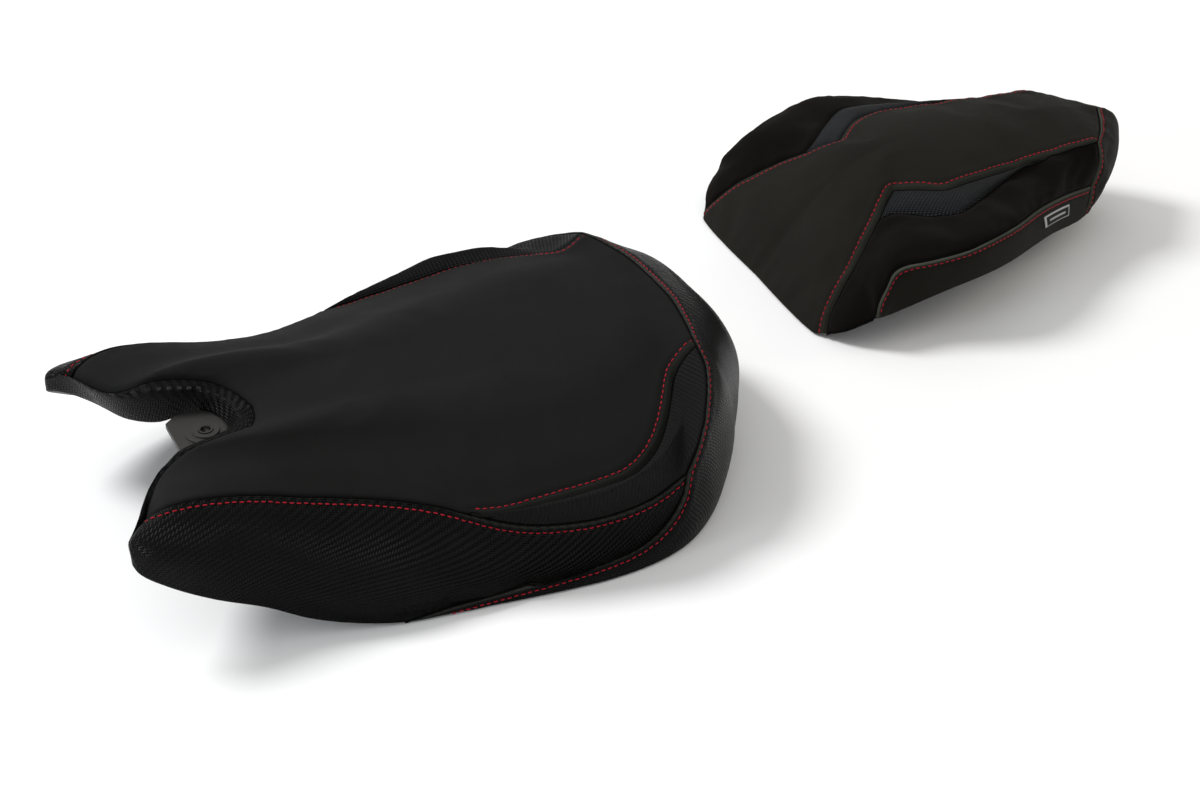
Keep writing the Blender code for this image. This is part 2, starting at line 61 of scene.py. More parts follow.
# The cord's near-black colour is painted shade in each seam's valley; the cord also closes the seam
CORD_RADIUS = 0.75         # the dark cord that closes each seam
ROUND = 8                  # sides of a thread or cord
ANGLES = np.linspace(0, 2 * np.pi, ROUND, endpoint=False)
LABEL_U, LABEL_V = (0.685, 0.86), (0.26, 0.60)  # the label's place on the lower band
LABEL_CELLS = (41, 19)     # the label's points along and across
SIM_FRAMES = 18
SIM_CELL = 6.0             # spacing of the simulated cloth's points
PUFF = 2.6                 # most that the fabric is puffed out
WELD = 0.004               # points closer than this are one
CORE_HEIGHT = 15.0         # a height inside both seats, which every panel faces away from
ALMOST = 1e-6
FORK = 6 / 11              # where the top's edge forks round the insert, as a share of the edge
CLOTH = {"quality": 6, "mass": 0.25, "tension_stiffness": 30, "compression_stiffness": 30,
         "shear_stiffness": 12, "bending_stiffness": 3, "vertex_group_mass": "sewn", "use_pressure": True,
         "uniform_pressure_force": 5, "shrink_min": -0.012}
SLOTS = {"rider_top": "top_fabric", "pillion_top": "top_fabric", "blue_mesh": "ribbed_mesh"}
SIDES = (("right", 1), ("left", -1))

FLOOR_HALF, FLOOR_DROP = 6.0, 0.0009  # metres from here on
LAMPS = {"key": ((-1.6, 1.5, 2.6), 1.2, 80, (1.0, 1.0, 1.0)),  # place, size, watts, color
         "cool": ((-2.0, -0.2, 0.7), 0.6, 6, (0.85, 0.93, 1.0)),
         "warm": ((2.0, -0.3, 1.1), 0.6, 4, (1.0, 0.93, 0.70))}
SKY = 0.62
EYE, AZIMUTH, ELEVATION, LENS, SENSOR = (-0.6023, -1.0734, 0.777), -26.64, 33.5, 60.0, 36.0

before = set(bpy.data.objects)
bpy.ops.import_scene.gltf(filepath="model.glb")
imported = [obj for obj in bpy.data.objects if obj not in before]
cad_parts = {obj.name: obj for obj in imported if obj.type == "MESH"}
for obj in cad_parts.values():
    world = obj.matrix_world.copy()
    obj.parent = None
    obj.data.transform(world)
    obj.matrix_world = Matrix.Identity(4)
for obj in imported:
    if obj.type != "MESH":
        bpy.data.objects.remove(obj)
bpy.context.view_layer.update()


# ---------------------------------------------------------------- curves and patches


def runs(row):
    """The distance along a row of points, from its first."""
    return np.concatenate([[0], np.cumsum(np.linalg.norm(np.diff(row, axis=0), axis=1))])


def read(at, run, values):
    """Rows of three values given along a run, read at other distances on it."""
    return np.stack([np.interp(at, run, values[:, axis]) for axis in range(3)], axis=-1)


def unit(ways):
    return ways / np.maximum(np.linalg.norm(ways, axis=-1, keepdims=True), 1e-9)


def smooth_step(share):
    return share * share * (3 - 2 * share)


def hump(value, middle, width):
    return np.exp(-(((value - middle) / width) ** 2))


def line(*points):
    """A smooth curve through points, as a function of the share of its length."""
    points = np.asarray(points, float)
    ends = np.vstack([2 * points[0] - points[1], points, 2 * points[-1] - points[-2]])
    fine = []
    for before, start, stop, after in zip(ends, ends[1:], ends[2:], ends[3:]):
        knots = [0.0]
        for one, two in ((before, start), (start, stop), (stop, after)):
            knots.append(knots[-1] + max(np.linalg.norm(two - one), 1e-6) ** 0.5)
        t0, t1, t2, t3 = knots
        for t in np.linspace(t1, t2, 24, endpoint=False):
            a1 = ((t1 - t) * before + (t - t0) * start) / (t1 - t0)
            a2 = ((t2 - t) * start + (t - t1) * stop) / (t2 - t1)
            a3 = ((t3 - t) * stop + (t - t2) * after) / (t3 - t2)
            b1 = ((t2 - t) * a1 + (t - t0) * a2) / (t2 - t0)
            b2 = ((t3 - t) * a2 + (t - t1) * a3) / (t3 - t1)
            fine.append(((t2 - t) * b1 + (t - t1) * b2) / (t2 - t1))
    fine = np.vstack([fine, points[-1]])
    run = runs(fine)
    return lambda share: read(np.asarray(share, float) * run[-1], run, fine)


def chain(*pieces):
    """Curves end to end, each given as (curve, its part of the whole)."""
    parts = np.array([part for _, part in pieces], float)
    stops = np.concatenate([[0], np.cumsum(parts) / parts.sum()])

    def at(share):
        share = np.asarray(share, float)
        out = np.empty((len(share), 3))
        for (curve, _), low, high in zip(pieces, stops, stops[1:]):
            inside = (share >= low - 1e-9) & (share <= high + 1e-9)
            out[inside] = curve(np.clip((share[inside] - low) / (high - low), 0, 1))
        return out

    return at


def stretch(curve, start, stop):
    """The part of a curve from one share to another, in that direction."""
    return lambda share: curve(start + (stop - start) * np.asarray(share, float))


def spot(place):
    """A curve that stays at one point."""
    return lambda share: np.repeat(np.array([place], float), len(share), axis=0)


def patch(front, rear, inner, outer, blend=None):
    """The surface between four curves: u runs along inner and outer, v along front and rear."""
    ends = np.array([0.0, 1.0])

    def at(u, v):
        far = (np.repeat(v[:, None], 3, axis=1) if blend is None else blend(v))[None]

        def across(one, two):
            return one * (1 - far) + two * far

        s = u[:, None, None]
        ruled = across(inner(u)[:, None], outer(u)[:, None])
        front_ends, rear_ends = front(ends), rear(ends)
        at_front = front(v)[None] - across(front_ends[None, :1], front_ends[None, 1:])
        at_rear = rear(v)[None] - across(rear_ends[None, :1], rear_ends[None, 1:])
        return ruled + (1 - s) * at_front + s * at_rear

    return at


def swell(surface, push, along=None, peak=0.5):
    """The surface pushed out between its inner and outer curves. along gives the amount at each u."""
    lean = math.log(0.5) / math.log(peak)

    def at(u, v):
        arch = np.sin(np.pi * v**lean)[None, :, None]
        rows = np.sin(np.pi * u) ** 0.6 if along is None else along(u)
        return surface(u, v) + arch * rows[:, None, None] * np.asarray(push, float)

    return at


def steps(*pairs):
    """A function that runs straight between (share, amount) pairs, with its corners smoothed."""
    places, amounts = zip(*pairs)
    fine = np.linspace(0, 1, 201)
    kernel = np.hanning(21) / np.hanning(21).sum()
    smooth = np.convolve(np.pad(np.interp(fine, places, amounts), 10, mode="edge"), kernel, mode="valid")
    return lambda share: np.interp(share, fine, smooth)


def turned(surface):
    """The same surface with u and v changed over."""
    return lambda u, v: surface(v, u).swapaxes(0, 1)


def powers(x, y, z):
    """A blend across a patch that is flat in its middle, by a power for each axis."""
    return lambda v: np.stack([v**x, v**y, v**z], axis=1)


def pan_blend(v):
    """Across half a pan: a level middle, a curved side and a level sole at the edge."""
    place = np.interp(v, [0, 0.6, 1], [0, 0.62, 1])
    fall = np.clip((place - 0.42) / 0.47, 0, 1)
    return np.stack([place**1.3, place, smooth_step(fall)], axis=1)


# ---------------------------------------------------------------- seam lines and the surfaces between them


def rider_surfaces():
    horn = (22.6, 84.6, 80)
    tip = (7, 101, 66)
    fork = (204.5, 131.5, 55.5)
    shoulder = (386.5, 84, 98.3)
    junction = (345.5, 150, 51)
    taper = (155, 148, 1)
    crown = (398.5, 0, 103)
    notch = (116, 0, 82.5)
    notch_foot = (98, 0, 73)
    tail = (449, 0, 27)
    side = line(horn, (27, 87, 85.5), (35, 89.5, 89.6), (50, 92.4, 91.5), (70, 94.1, 89), (90, 95.3, 84),
                (110, 97.1, 77.5), (130, 99.8, 72.1), (150, 104.2, 67.5), (170, 111.2, 63.4),
                (190, 121.9, 59.6), fork)
    lower = line(fork, (225.5, 138, 45.8), (247.6, 142.8, 39.1), (287, 148.5, 35.2), (320, 151.5, 40.5),
                 junction)
    upper = line(fork, (225, 137, 53), (250, 140.5, 53), (290, 143.5, 55), (312, 143, 57.5),
                 (333, 132.5, 63.5), (349, 116.5, 71), (359.5, 102.5, 77.5), (369.5, 89, 84.5),
                 (378, 84.5, 91.5), shoulder)
    rear = line(crown, (397, 30, 103), (392.5, 57, 102), (389, 73, 100.8), shoulder)
    corner = line(shoulder, (386, 98, 91.5), (375, 121, 80), (357.5, 143, 65), junction)
    wrap = line(junction, (343, 152, 38.5), (336, 153.5, 27.5), (324, 156, 18.5), (305, 159, 13),
                (280, 160.5, 11.2), (250, 159, 9.5), (216, 155.5, 7.5), (185, 152, 5.5), taper)
    rim = line(notch, (113.5, 12, 83), (108, 23, 84.5), (100, 30.5, 87.3), (90, 34.8, 89.6), (76, 39.6, 91.3),
               (60, 43.3, 90.8), (50, 46, 87.5), (40, 53, 83.8), (30, 69.6, 82.3), horn)
    notch_base = line(notch_foot, (94, 20, 74), (82, 32, 69), (66, 38, 61), (47, 50, 62),
                      (32, 74, 65.5), (17, 92, 68.5), tip)
    beak = line(horn, (14, 92, 81), (8, 98, 78), tip)
    side_base = line(tip, (11, 108, 60), (25, 114, 50), (48, 121, 38), (77, 126, 25), (101, 133, 13),
                     (127, 140, 5), taper)
    rear_base = line(tail, (446, 33, 22), (433, 58, 12), (414, 87, 7), (392, 117, 4), (370, 139, 1),
                     (346, 155, 0), (321, 163, 0), (286, 165.5, 0), (245, 161, 0), (216, 156.5, 0),
                     (185, 152.5, 0), taper)
    spine = line(notch, (128, 0, 84), (155, 0, 84.5), (200, 0, 82), (245, 0, 80), (290, 0, 82),
                 (335, 0, 89), (375, 0, 98), crown)
    tail_line = line(crown, (420, 0, 94.5), (442, 0, 68), (452, 0, 45), tail)
    notch_line = line(notch, (106, 0, 81), notch_foot)
    keel = line(notch_foot, (112, 0, 72), (150, 0, 60), (230, 0, 45), (340, 0, 36), tail)

    band_base = chain((stretch(rear_base, 0, 0.25), 6), (stretch(rear_base, 0.25, 0.48), 3),
                      (stretch(rear_base, 0.48, 1), 4))
    band = patch(tail_line, spot(taper), chain((rear, 6), (corner, 3), (wrap, 4)), band_base)
    insert = patch(spot(fork), corner, upper, lower)
    side_panel = patch(beak, wrap, chain((side, 6), (lower, 5)), side_base)
    side_panel = swell(side_panel, (0, 5, 0), steps((0, 0), (0.15, 0.9), (0.7, 0.8), (0.88, 0.25), (1, 0)))
    horn_rows = steps((0, 0), (0.09, 0.7), (0.18, 0.7), (0.27, 0.45), (0.36, 0.2), (0.45, 0), (1, 0))
    band_rows = steps((0, 0), (0.05, 2), (0.22, 6), (0.46, 4), (0.6, 1), (0.7, 0), (1, 0))
    lining_rows = steps((0, 0), (0.2, 0.7), (0.5, 1), (0.8, 0.4), (1, 0))
    lining = patch(notch_line, beak, rim, notch_base)
    insert_rows = steps((0, 0), (0.2, 0.3), (0.5, 0.6), (0.7, 0.5), (0.88, 0.12), (1, 0))
    base = chain((side_base, 11), (stretch(rear_base, 1, 6 / 13), 7))
    return {
        "top": patch(rim, rear, spine, chain((side, FORK), (upper, 1 - FORK)), powers(1.5, 1, 2.3)),
        "rear_band": turned(swell(band, (0.8, 0.5, 0.5), band_rows, peak=0.4)),
        "notch_lining": turned(swell(lining, (-1, -8, 1), lining_rows, peak=0.38)),
        "insert": swell(insert, (3, 12, 24), insert_rows),
        "side": swell(side_panel, (-1, 3, -4), horn_rows, peak=0.35),
        "bottom": patch(notch_base, stretch(rear_base, 0, 6 / 13), keel, base, pan_blend),
    }


def pillion_surfaces():
    foot = (6, 105, 4)
    waist = (91.5, 44, 77.2)
    insert_start = (71, 60, 64.5)
    insert_end = (224, 57, 86.3)
    crown = (303, 0, 88)
    cap_top = (267, 53, 87.5)
    cap_mid = (264, 58, 52)
    cap_foot = (262, 57, 24)
    skirt_start = (31, 131, 26)
    front = (0, 0, 0)
    tail = (308, 0, 18)
    front_seam = line(foot, (12.5, 98.5, 15.5), (27, 90, 32), (42, 81, 44), (59, 69, 56.5), insert_start)
    nose_seam = line(insert_start, (81, 52, 71.2), waist)
    top_seam = line(waist, (98, 49.5, 78.8), (107.5, 57.5, 81), (121.5, 67, 82.5), (135, 67.5, 84),
                    (150, 66.3, 84.8), (180, 62.7, 85.4), (205, 59.5, 86), insert_end)
    end_seam = line(insert_end, (245, 54.5, 87), cap_top)
    insert_seam = line(insert_start, (80, 64, 69.5), (101, 83, 72.5), (120, 94.5, 77), (133, 91, 78.5),
                       (160, 78, 80.5), (195, 63, 84), insert_end)
    skirt_seam = line(skirt_start, (33, 129.5, 35.5), (40, 126, 45), (49, 121.8, 56), (58, 122.6, 60.2),
                      (70, 127.3, 63), (85, 131.3, 65.8), (100, 134, 68.6), (116, 133.5, 71.5),
                      (150, 121, 71.5), (188, 98, 67.8), (225, 77, 60.8), cap_mid)
    cap_seam = line(crown, (291, 22, 87), (279, 39, 87.5), cap_top)
    cap_side = line(cap_top, (269.5, 56, 72), cap_mid)
    cap_low = line(cap_mid, (263, 58.5, 38), cap_foot)
    front_base = line(front, (-1, 52, 0), (0, 86, 0), (2, 98, 0.6), foot)
    side_base = line(foot, (15, 119, 13), skirt_start)
    skirt_base = line(skirt_start, (42, 130, 25), (56, 128.5, 26), (85, 132.5, 36), (119, 133, 43),
                      (150, 123, 43), (186, 104, 41), (218, 83, 34), (240, 70, 28), cap_foot)
    tail_base = line(tail, (302, 18, 19), (288, 34, 21), (273, 48, 23.5), cap_foot)
    spine = line(front, (30, 0, 37), (62, 0, 66), (92, 0, 84), (125, 0, 92), (180, 0, 95), (250, 0, 94),
                 crown)
    tail_line = line(crown, (319, 0, 79), (327.5, 0, 62), (323, 0, 38), tail)
    keel = line(front, (22, 0, 5), (60, 0, 24), (150, 0, 28), (250, 0, 26), tail)

    main_top = chain((front_seam, 4), (insert_seam, 5), (end_seam, 2))
    main_low = chain((side_base, 2), (skirt_seam, 9))
    cap = patch(tail_line, spot(cap_foot), chain((cap_seam, 6), (cap_side, 3), (cap_low, 3)), tail_base)
    shoulder_rows = steps((0, 0), (0.09, 0.8), (0.18, 1), (0.36, 0.8), (0.73, 0.3), (1, 0))
    main = patch(spot(foot), cap_side, main_top, main_low)
    cap_rows = steps((0, 0), (0.15, 3), (0.45, 5), (0.8, 2.5), (1, 0))
    edge = chain((front_seam, 4), (nose_seam, 2), (top_seam, 5), (end_seam, 2))
    base = chain((side_base, 2), (skirt_base, 9), (stretch(tail_base, 1, 0.5), 6))
    return {
        "top": patch(front_base, cap_seam, spine, edge, powers(1.5, 1, 2.4)),
        "rear_cap": turned(swell(cap, (-0.6, 0.6, 0.4), cap_rows)),
        "upper_insert": swell(patch(stretch(nose_seam, 1, 0), spot(insert_end), top_seam, insert_seam),
                              (0, 2, 2)),
        "main_insert": swell(main, (0, 2.5, 5), shoulder_rows, peak=0.6),
        "lower_band": swell(patch(spot(skirt_start), cap_low, skirt_seam, skirt_base), (0, 2, 0)),
        "bottom": patch(front_base, stretch(tail_base, 0, 0.5), keel, base, pan_blend),
    }


# ---------------------------------------------------------------- seats in the world


class Seat:
    """Where a seat stands, and its panels."""

    def __init__(self, body, origin, turn):
        self.body = body
        self.word = body.split("_")[0]
        self.origin = np.array(origin, float)
        self.turn = turn
        self.panels = []

    def world(self, points):
        """Points in the seat's own millimetres, in world metres."""
        points = np.asarray(points, float)
        c, s = math.cos(self.turn), math.sin(self.turn)
        x, y = points[..., 0], points[..., 1]
        flat = np.stack([c * x - s * y, s * x + c * y, points[..., 2]], axis=-1)
        return flat * MM + self.origin

    def add(self, obj, look, nodes=(), slot=None):
        """Puts a piece on the seat's body with its material, and hides the CAD nodes that it stands for."""
        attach(obj, self.body)
        if nodes:
            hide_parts(*nodes)
        obj.data.materials.append(look)


def middle(node):
    """The middle of a CAD node's box, in the world."""
    low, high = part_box(node)
    return (np.array(low) + np.array(high)) / 2


def seats():
    """Both seats, each placed by its own CAD nodes."""
    sleeve = middle("rider_bolt_sleeve")
    rider = Seat("rider_seat", (sleeve[0] - BOLT_X * MM, sleeve[1], 0), 0)
    left, right = middle("pillion_pad_front_left"), middle("pillion_pad_front_right")
    turn = math.atan2(right[1] - left[1], right[0] - left[0]) - math.pi / 2
    pads = (left + right) / 2
    origin = (pads[0] - PADS_X * MM * math.cos(turn), pads[1] - PADS_X * MM * math.sin(turn), 0)
    return rider, Seat("pillion_seat", origin, turn)


# ---------------------------------------------------------------- meshes


def mesh_object(name, points, faces, smooth=True, **attributes):
    """An object from world points and faces, with values or vectors for its points."""
    mesh = bpy.data.meshes.new(name)
    mesh.from_pydata([tuple(p) for p in points], [], [tuple(f) for f in faces])
    for label, values in attributes.items():
        values = np.asarray(values, float)
        kind = "FLOAT" if values.ndim == 1 else "FLOAT_VECTOR"
        layer = mesh.attributes.new(label, kind, "POINT")
        layer.data.foreach_set("value" if kind == "FLOAT" else "vector", values.ravel())
    mesh.polygons.foreach_set("use_smooth", [smooth] * len(mesh.polygons))
    mesh.update()
    obj = bpy.data.objects.new(name, mesh)
    bpy.context.scene.collection.objects.link(obj)
    return obj


def grid_faces(rows, columns, first=0):
    """The quads of a grid of points, as rows of four numbers."""
    a = (np.arange(rows - 1)[:, None] * columns + np.arange(columns - 1)[None]).ravel() + first
    return np.stack([a, a + columns, a + columns + 1, a + 1], axis=1)


def welded(points, faces, *layers):
    """Points that lie at one place made one, and faces that close up left out or made triangles."""
    keys = np.round(points / MM / WELD).astype(np.int64)
    _, first, turn = np.unique(keys, axis=0, return_index=True, return_inverse=True)
    turn = turn.reshape(-1)
    kept = []
    for face in turn[np.asarray(faces)]:
        corners = [c for k, c in enumerate(face) if c != face[k - 1]]
        if len(set(corners)) == len(corners) and len(corners) > 2:
            kept.append(corners)
    return points[first], kept, [layer[first] for layer in layers]


def grid_normals(grid):
    """Unit directions across a grid, turned by the order of its rows and columns."""
    flat = grid.reshape(-1, 3)
    faces = grid_faces(*grid.shape[:2])
    way = np.cross(flat[faces[:, 2]] - flat[faces[:, 0]], flat[faces[:, 3]] - flat[faces[:, 1]])
    total = np.zeros_like(flat)
    for corner in range(4):
        np.add.at(total, faces[:, corner], way)
    _, turn = np.unique(np.round(flat / WELD).astype(np.int64), axis=0, return_inverse=True)
    turn = turn.reshape(-1)
    joined = np.zeros((turn.max() + 1, 3))
    np.add.at(joined, turn, total)
    return unit(joined[turn]).reshape(grid.shape)


def off_line(points, path):
    """The distance from each point to a path of points."""
    start, step = path[:-1], np.diff(path, axis=0)
    size = np.maximum((step**2).sum(1), 1e-12)
    best = []
    for part in np.array_split(points[:, None], len(points) // 4000 + 1):
        t = np.clip(((part - start) * step).sum(2) / size, 0, 1)
        best.append(np.linalg.norm(part - (start + t[..., None] * step), axis=2).min(axis=1))
    return np.concatenate(best)


def spaced(length, at_start, at_stop):
    """Shares of a run: close together by its seams, evenly spaced between."""
    edge = np.array([step for step in EDGE_STEPS if step < 0.4 * length])
    low = edge if at_start else edge[:1]
    high = length - (edge if at_stop else edge[:1])[::-1]
    count = max(int(math.ceil((high[0] - low[-1]) / CELL)), 1)
    run = np.linspace(low[-1], high[0], count + 1)
    return np.concatenate([low[:-1], run, high[1:]]) / length


class Panel:
    """A sewn panel, with u along it and v across it.

    borders names what its front, rear, inner and outer edges are: a seam, a base edge, the centre line of a
    whole panel, or only a point. side is the edge that style puts the seam's fold and stitches beside.
    """

    def __init__(self, seat, name, surface, borders, look, side, style):
        self.name, self.surface, self.look, self.side, self.style = name, surface, look, side, style
        self.whole = "centre" in borders
        self.nodes = ["%s_cover_%s" % (seat.word, name)] + ([seat.word + "_foam"] if name == "top" else [])
        self.borders = dict(zip(("front", "rear", "inner", "outer"), borders.split()))
        along, across = self.reach(25)
        tight = {side: what != "point" for side, what in self.borders.items()}
        self.u = spaced(along, tight["front"], tight["rear"])
        v = spaced(across, not self.whole and tight["inner"], tight["outer"])
        self.v = np.concatenate([-v[::-1][:-1], v]) if self.whole else v
        self.grid = self.spread(self.u, self.v)
        way = grid_normals(self.grid)
        core = np.array([0.5 * (self.grid[..., 0].min() + self.grid[..., 0].max()), 0, CORE_HEIGHT])
        self.sign = -1 if ((self.grid - core) * way).sum() < 0 else 1
        self.way = way * self.sign
        self.push = np.zeros_like(self.grid)
        seat.panels.append(self)

    def reach(self, count):
        """The greatest length and width, of the right half of a whole panel, on a coarse grid."""
        rough = self.surface(*[np.linspace(0, 1, count)] * 2)
        return [np.linalg.norm(np.diff(rough, axis=axis), axis=2).sum(axis).max() for axis in (0, 1)]

    def spread(self, u, v):
        """The surface at shares u and v. On a whole panel a v below zero is on the left."""
        grid = self.surface(u, np.abs(v))
        if self.whole:
            grid[:, :, 1] *= np.sign(v)[None]
        return grid

    def border(self, side, grid=None):
        """One edge of the panel's grid, or of another grid of its shape."""
        grid = self.grid if grid is None else grid
        return {"front": grid[0], "rear": grid[-1], "inner": grid[:, 0], "outer": grid[:, -1]}[side]

    def edges(self, *kinds):
        """The sides of the grid that are seams or base edges. A whole panel's inner one mirrors its outer."""
        for side, what in self.borders.items():
            if self.whole and side == "inner":
                what = self.borders["outer"]
            if what in (kinds or ("seam", "base")):
                yield side


def tree_of(places):
    """A search tree of places, by their numbers."""
    tree = KDTree(len(places))
    for index, place in enumerate(places):
        tree.insert(Vector(place), index)
    tree.balance()
    return tree


def share_directions(seat):
    """Sets each panel's outward directions, which panels share where they meet."""
    places, ways = [], []
    for panel in seat.panels:
        for mirror in ((1,) if panel.whole else (1, -1)):
            for side in panel.edges():
                places.append(panel.border(side) * (1, mirror, 1))
                ways.append(panel.border(side, panel.way) * (1, mirror, 1))
    places, ways = np.vstack(places), np.vstack(ways)
    tree = tree_of(places)
    for panel in seat.panels:
        rim = np.vstack([panel.border(side) for side in panel.edges()])
        near = [[index for _, index, _ in tree.find_range(Vector(place), MEETING)] for place in rim]
        shared = unit(np.array([ways[found].sum(0) for found in near]))
        rim_tree = tree_of(rim)
        mixed = panel.way.reshape(-1, 3).copy()
        for index, place in enumerate(panel.grid.reshape(-1, 3)):
            _, nearest, gap = rim_tree.find(Vector(place))
            if gap < SEAM_BLEND:
                share = smooth_step(gap / SEAM_BLEND)
                mixed[index] = unit(mixed[index] * share + shared[nearest] * (1 - share))
        panel.out = mixed.reshape(panel.grid.shape)


def hung(panel):
    """A coarse copy of a panel with Cloth on it, held at its edges, and its shares and points."""
    along, across = panel.reach(12)
    u = np.linspace(0, 1, max(int(along / SIM_CELL), 6) + 1)
    low = -1 if panel.whole else 0
    v = np.linspace(low, 1, max(int((1 - low) * across / SIM_CELL), 6) + 1)
    grid = panel.spread(u, v)
    faces = grid_faces(*grid.shape[:2])[:, ::panel.sign]
    obj = mesh_object("trial_" + panel.name, grid.reshape(-1, 3) * MM, faces)
    ids = np.arange(len(u) * len(v)).reshape(len(u), len(v))
    rim = np.unique(np.concatenate([ids[0], ids[-1], ids[:, 0], ids[:, -1]]))
    obj.vertex_groups.new(name="sewn").add(rim.tolist(), 1.0, "ADD")
    cloth = obj.modifiers.new("cloth", "CLOTH")
    for key, value in CLOTH.items():
        setattr(cloth.settings, key, value)
    cloth.settings.effector_weights.gravity = 0
    cloth.point_cache.frame_end = SIM_FRAMES
    return obj, u, v, grid


def blow(panels):
    """Puffs every panel up as cloth held at its seams, and keeps how far each point moved."""
    scene = bpy.context.scene
    trials = [hung(panel) for panel in panels]
    for step in range(1, SIM_FRAMES + 1):
        scene.frame_set(step)
    graph = bpy.context.evaluated_depsgraph_get()
    for panel, (obj, u, v, grid) in zip(panels, trials):
        flat = np.empty(grid.size)
        obj.evaluated_get(graph).data.vertices.foreach_get("co", flat)
        push = flat.reshape(grid.shape) / MM - grid
        push[~np.isfinite(push)] = 0
        push *= min(1.0, PUFF / max(np.linalg.norm(push, axis=2).max(), ALMOST))
        if panel.whole:
            push = 0.5 * (push + push[:, ::-1] * (1, -1, 1))
        across = np.stack([read(panel.v, v, row) for row in push])
        panel.push = np.stack([read(panel.u, u, across[:, k]) for k in range(len(panel.v))], axis=1)
        bpy.data.objects.remove(obj)
    scene.frame_set(1)


# ---------------------------------------------------------------- sewing


def amount(value, shares):
    """A number that may change along an edge, given as (share, number) pairs."""
    if isinstance(value, (int, float)):
        return np.full(np.shape(shares), float(value))
    places, numbers = zip(*value)
    return np.interp(shares, places, numbers)


def along_edge(panel):
    """How far along the styled edge each point lies, as a share, the same on both halves of a whole panel."""
    if panel.side in ("inner", "outer"):
        return np.repeat(panel.u[:, None], len(panel.v), axis=1)
    return np.repeat(np.abs(panel.v)[None], len(panel.u), axis=0)


def styled(panel):
    """Which places along the panel's edge its style is about, on the right of a whole panel."""
    shares = panel.u if panel.side in ("inner", "outer") else panel.v
    return shares >= panel.style.get("start", 0) - ALMOST


def off_seam(panel):
    """The distance of each of the panel's points from its styled seam."""
    path = panel.border(panel.side)[styled(panel)]
    flat = panel.grid.reshape(-1, 3)
    gap = off_line(flat, path)
    if panel.whole:
        gap = np.minimum(gap, off_line(flat, path * (1, -1, 1)))
    return gap.reshape(panel.grid.shape[:2])


def puckers(points):
    """A gentle unevenness from -1 to 1, finest across the seams and the same on both sides."""
    x, y, z = points[..., 0], np.abs(points[..., 1]), points[..., 2]
    return (np.sin(0.62 * x + 0.9 * np.sin(0.11 * y)) * np.cos(0.53 * z + 0.2 * y + 1.3)
            + 0.6 * np.sin(0.31 * y - 0.27 * x + 0.6 * np.sin(0.09 * z + 2)))


def shape(panel):
    """The panel's final points: puffed out, sunk at its seams, and with its folds and stitch lines."""
    flat = panel.grid.reshape(-1, 3)
    gaps = [off_line(flat, panel.border(side)) for side in panel.edges("seam")]
    gap = np.min(gaps, axis=0).reshape(panel.grid.shape[:2])
    lift = -SEAM_DEPTH * np.exp(-((gap / SINK_WIDTH) ** 1.4))
    if panel.name != "notch_lining":
        lift += np.where(gap > 1.2, RIPPLE * hump(gap, 6, 5) * puckers(panel.grid), 0)
    panel.fold, panel.strip = np.zeros(gap.shape), np.zeros(gap.shape)
    near, shares, style = off_seam(panel), along_edge(panel), panel.style
    if "fold" in style:
        half = 0.5 * amount(style["fold"], shares)
        lift += RIDGE * hump(near, half + 0.7, half)
        across = 0.95 * (near - half - 0.7) / half
        # panel.fold is a painted highlight along the crest of the fold beside the seam, as bright as the
        # style's light asks
        panel.fold = amount(style.get("light", 1), shares) * np.exp(-(across**4))
    if "stitch" in style:
        sewn = amount(style["stitch"], shares)
        lift -= STITCH_DIP * hump(near, sewn, 0.9)
        # the fabric rises beyond the stitches, and a little between them and the seam
        lift += 0.5 * hump(near, sewn + 3.6, 2.4) + 0.25 * hump(near, 0.55 * sewn, 0.25 * sewn)
        panel.strip = 1 / (1 + np.exp(np.clip((near - sewn) / 0.3, -30, 30)))
    panel.points = panel.grid + panel.push + panel.out * lift[..., None]


def stitch_line(panel):
    """Points and outward directions on the finished panel where its stitches run."""
    points, gap, out = panel.points, off_seam(panel), panel.out
    if panel.side in ("front", "rear"):
        points, gap, out = points.swapaxes(0, 1), gap.T, out.swapaxes(0, 1)
        shares, last = panel.v, len(panel.u)
    else:
        shares, last = panel.u, len(panel.v) // 2 if panel.whole else len(panel.v)
    if panel.side in ("rear", "outer"):
        points, gap, out = points[:, ::-1], gap[:, ::-1], out[:, ::-1]
    reach = amount(panel.style["stitch"], shares)
    found, ways = [], []
    for row in np.nonzero(styled(panel))[0]:
        over = np.nonzero(gap[row, :last] >= reach[row])[0]
        if not len(over) or over[0] == 0:
            continue
        k = over[0]
        share = (reach[row] - gap[row, k - 1]) / max(gap[row, k] - gap[row, k - 1], ALMOST)
        found.append(points[row, k - 1] * (1 - share) + points[row, k] * share)
        ways.append(out[row, k - 1] * (1 - share) + out[row, k] * share)
    return np.array(found), unit(np.array(ways))


def resampled(path, ways):
    """A path and its outward directions at equal steps, one for each stitch."""
    run = runs(path)
    at = np.linspace(0, run[-1], max(int(round(run[-1] / STITCH_PITCH)), 2) + 1)
    return read(at, run, path), unit(read(at, run, ways))


def ring_faces(rings, first=0):
    """The faces of a closed tube of rings, with a cap at each end."""
    last = first + (rings - 1) * ROUND
    faces = [tuple(range(first, first + ROUND))[::-1], tuple(range(last, last + ROUND))]
    for low in range(first, last, ROUND):
        for s in range(ROUND):
            n = (s + 1) % ROUND
            faces.append((low + s, low + n, low + ROUND + n, low + ROUND + s))
    return faces


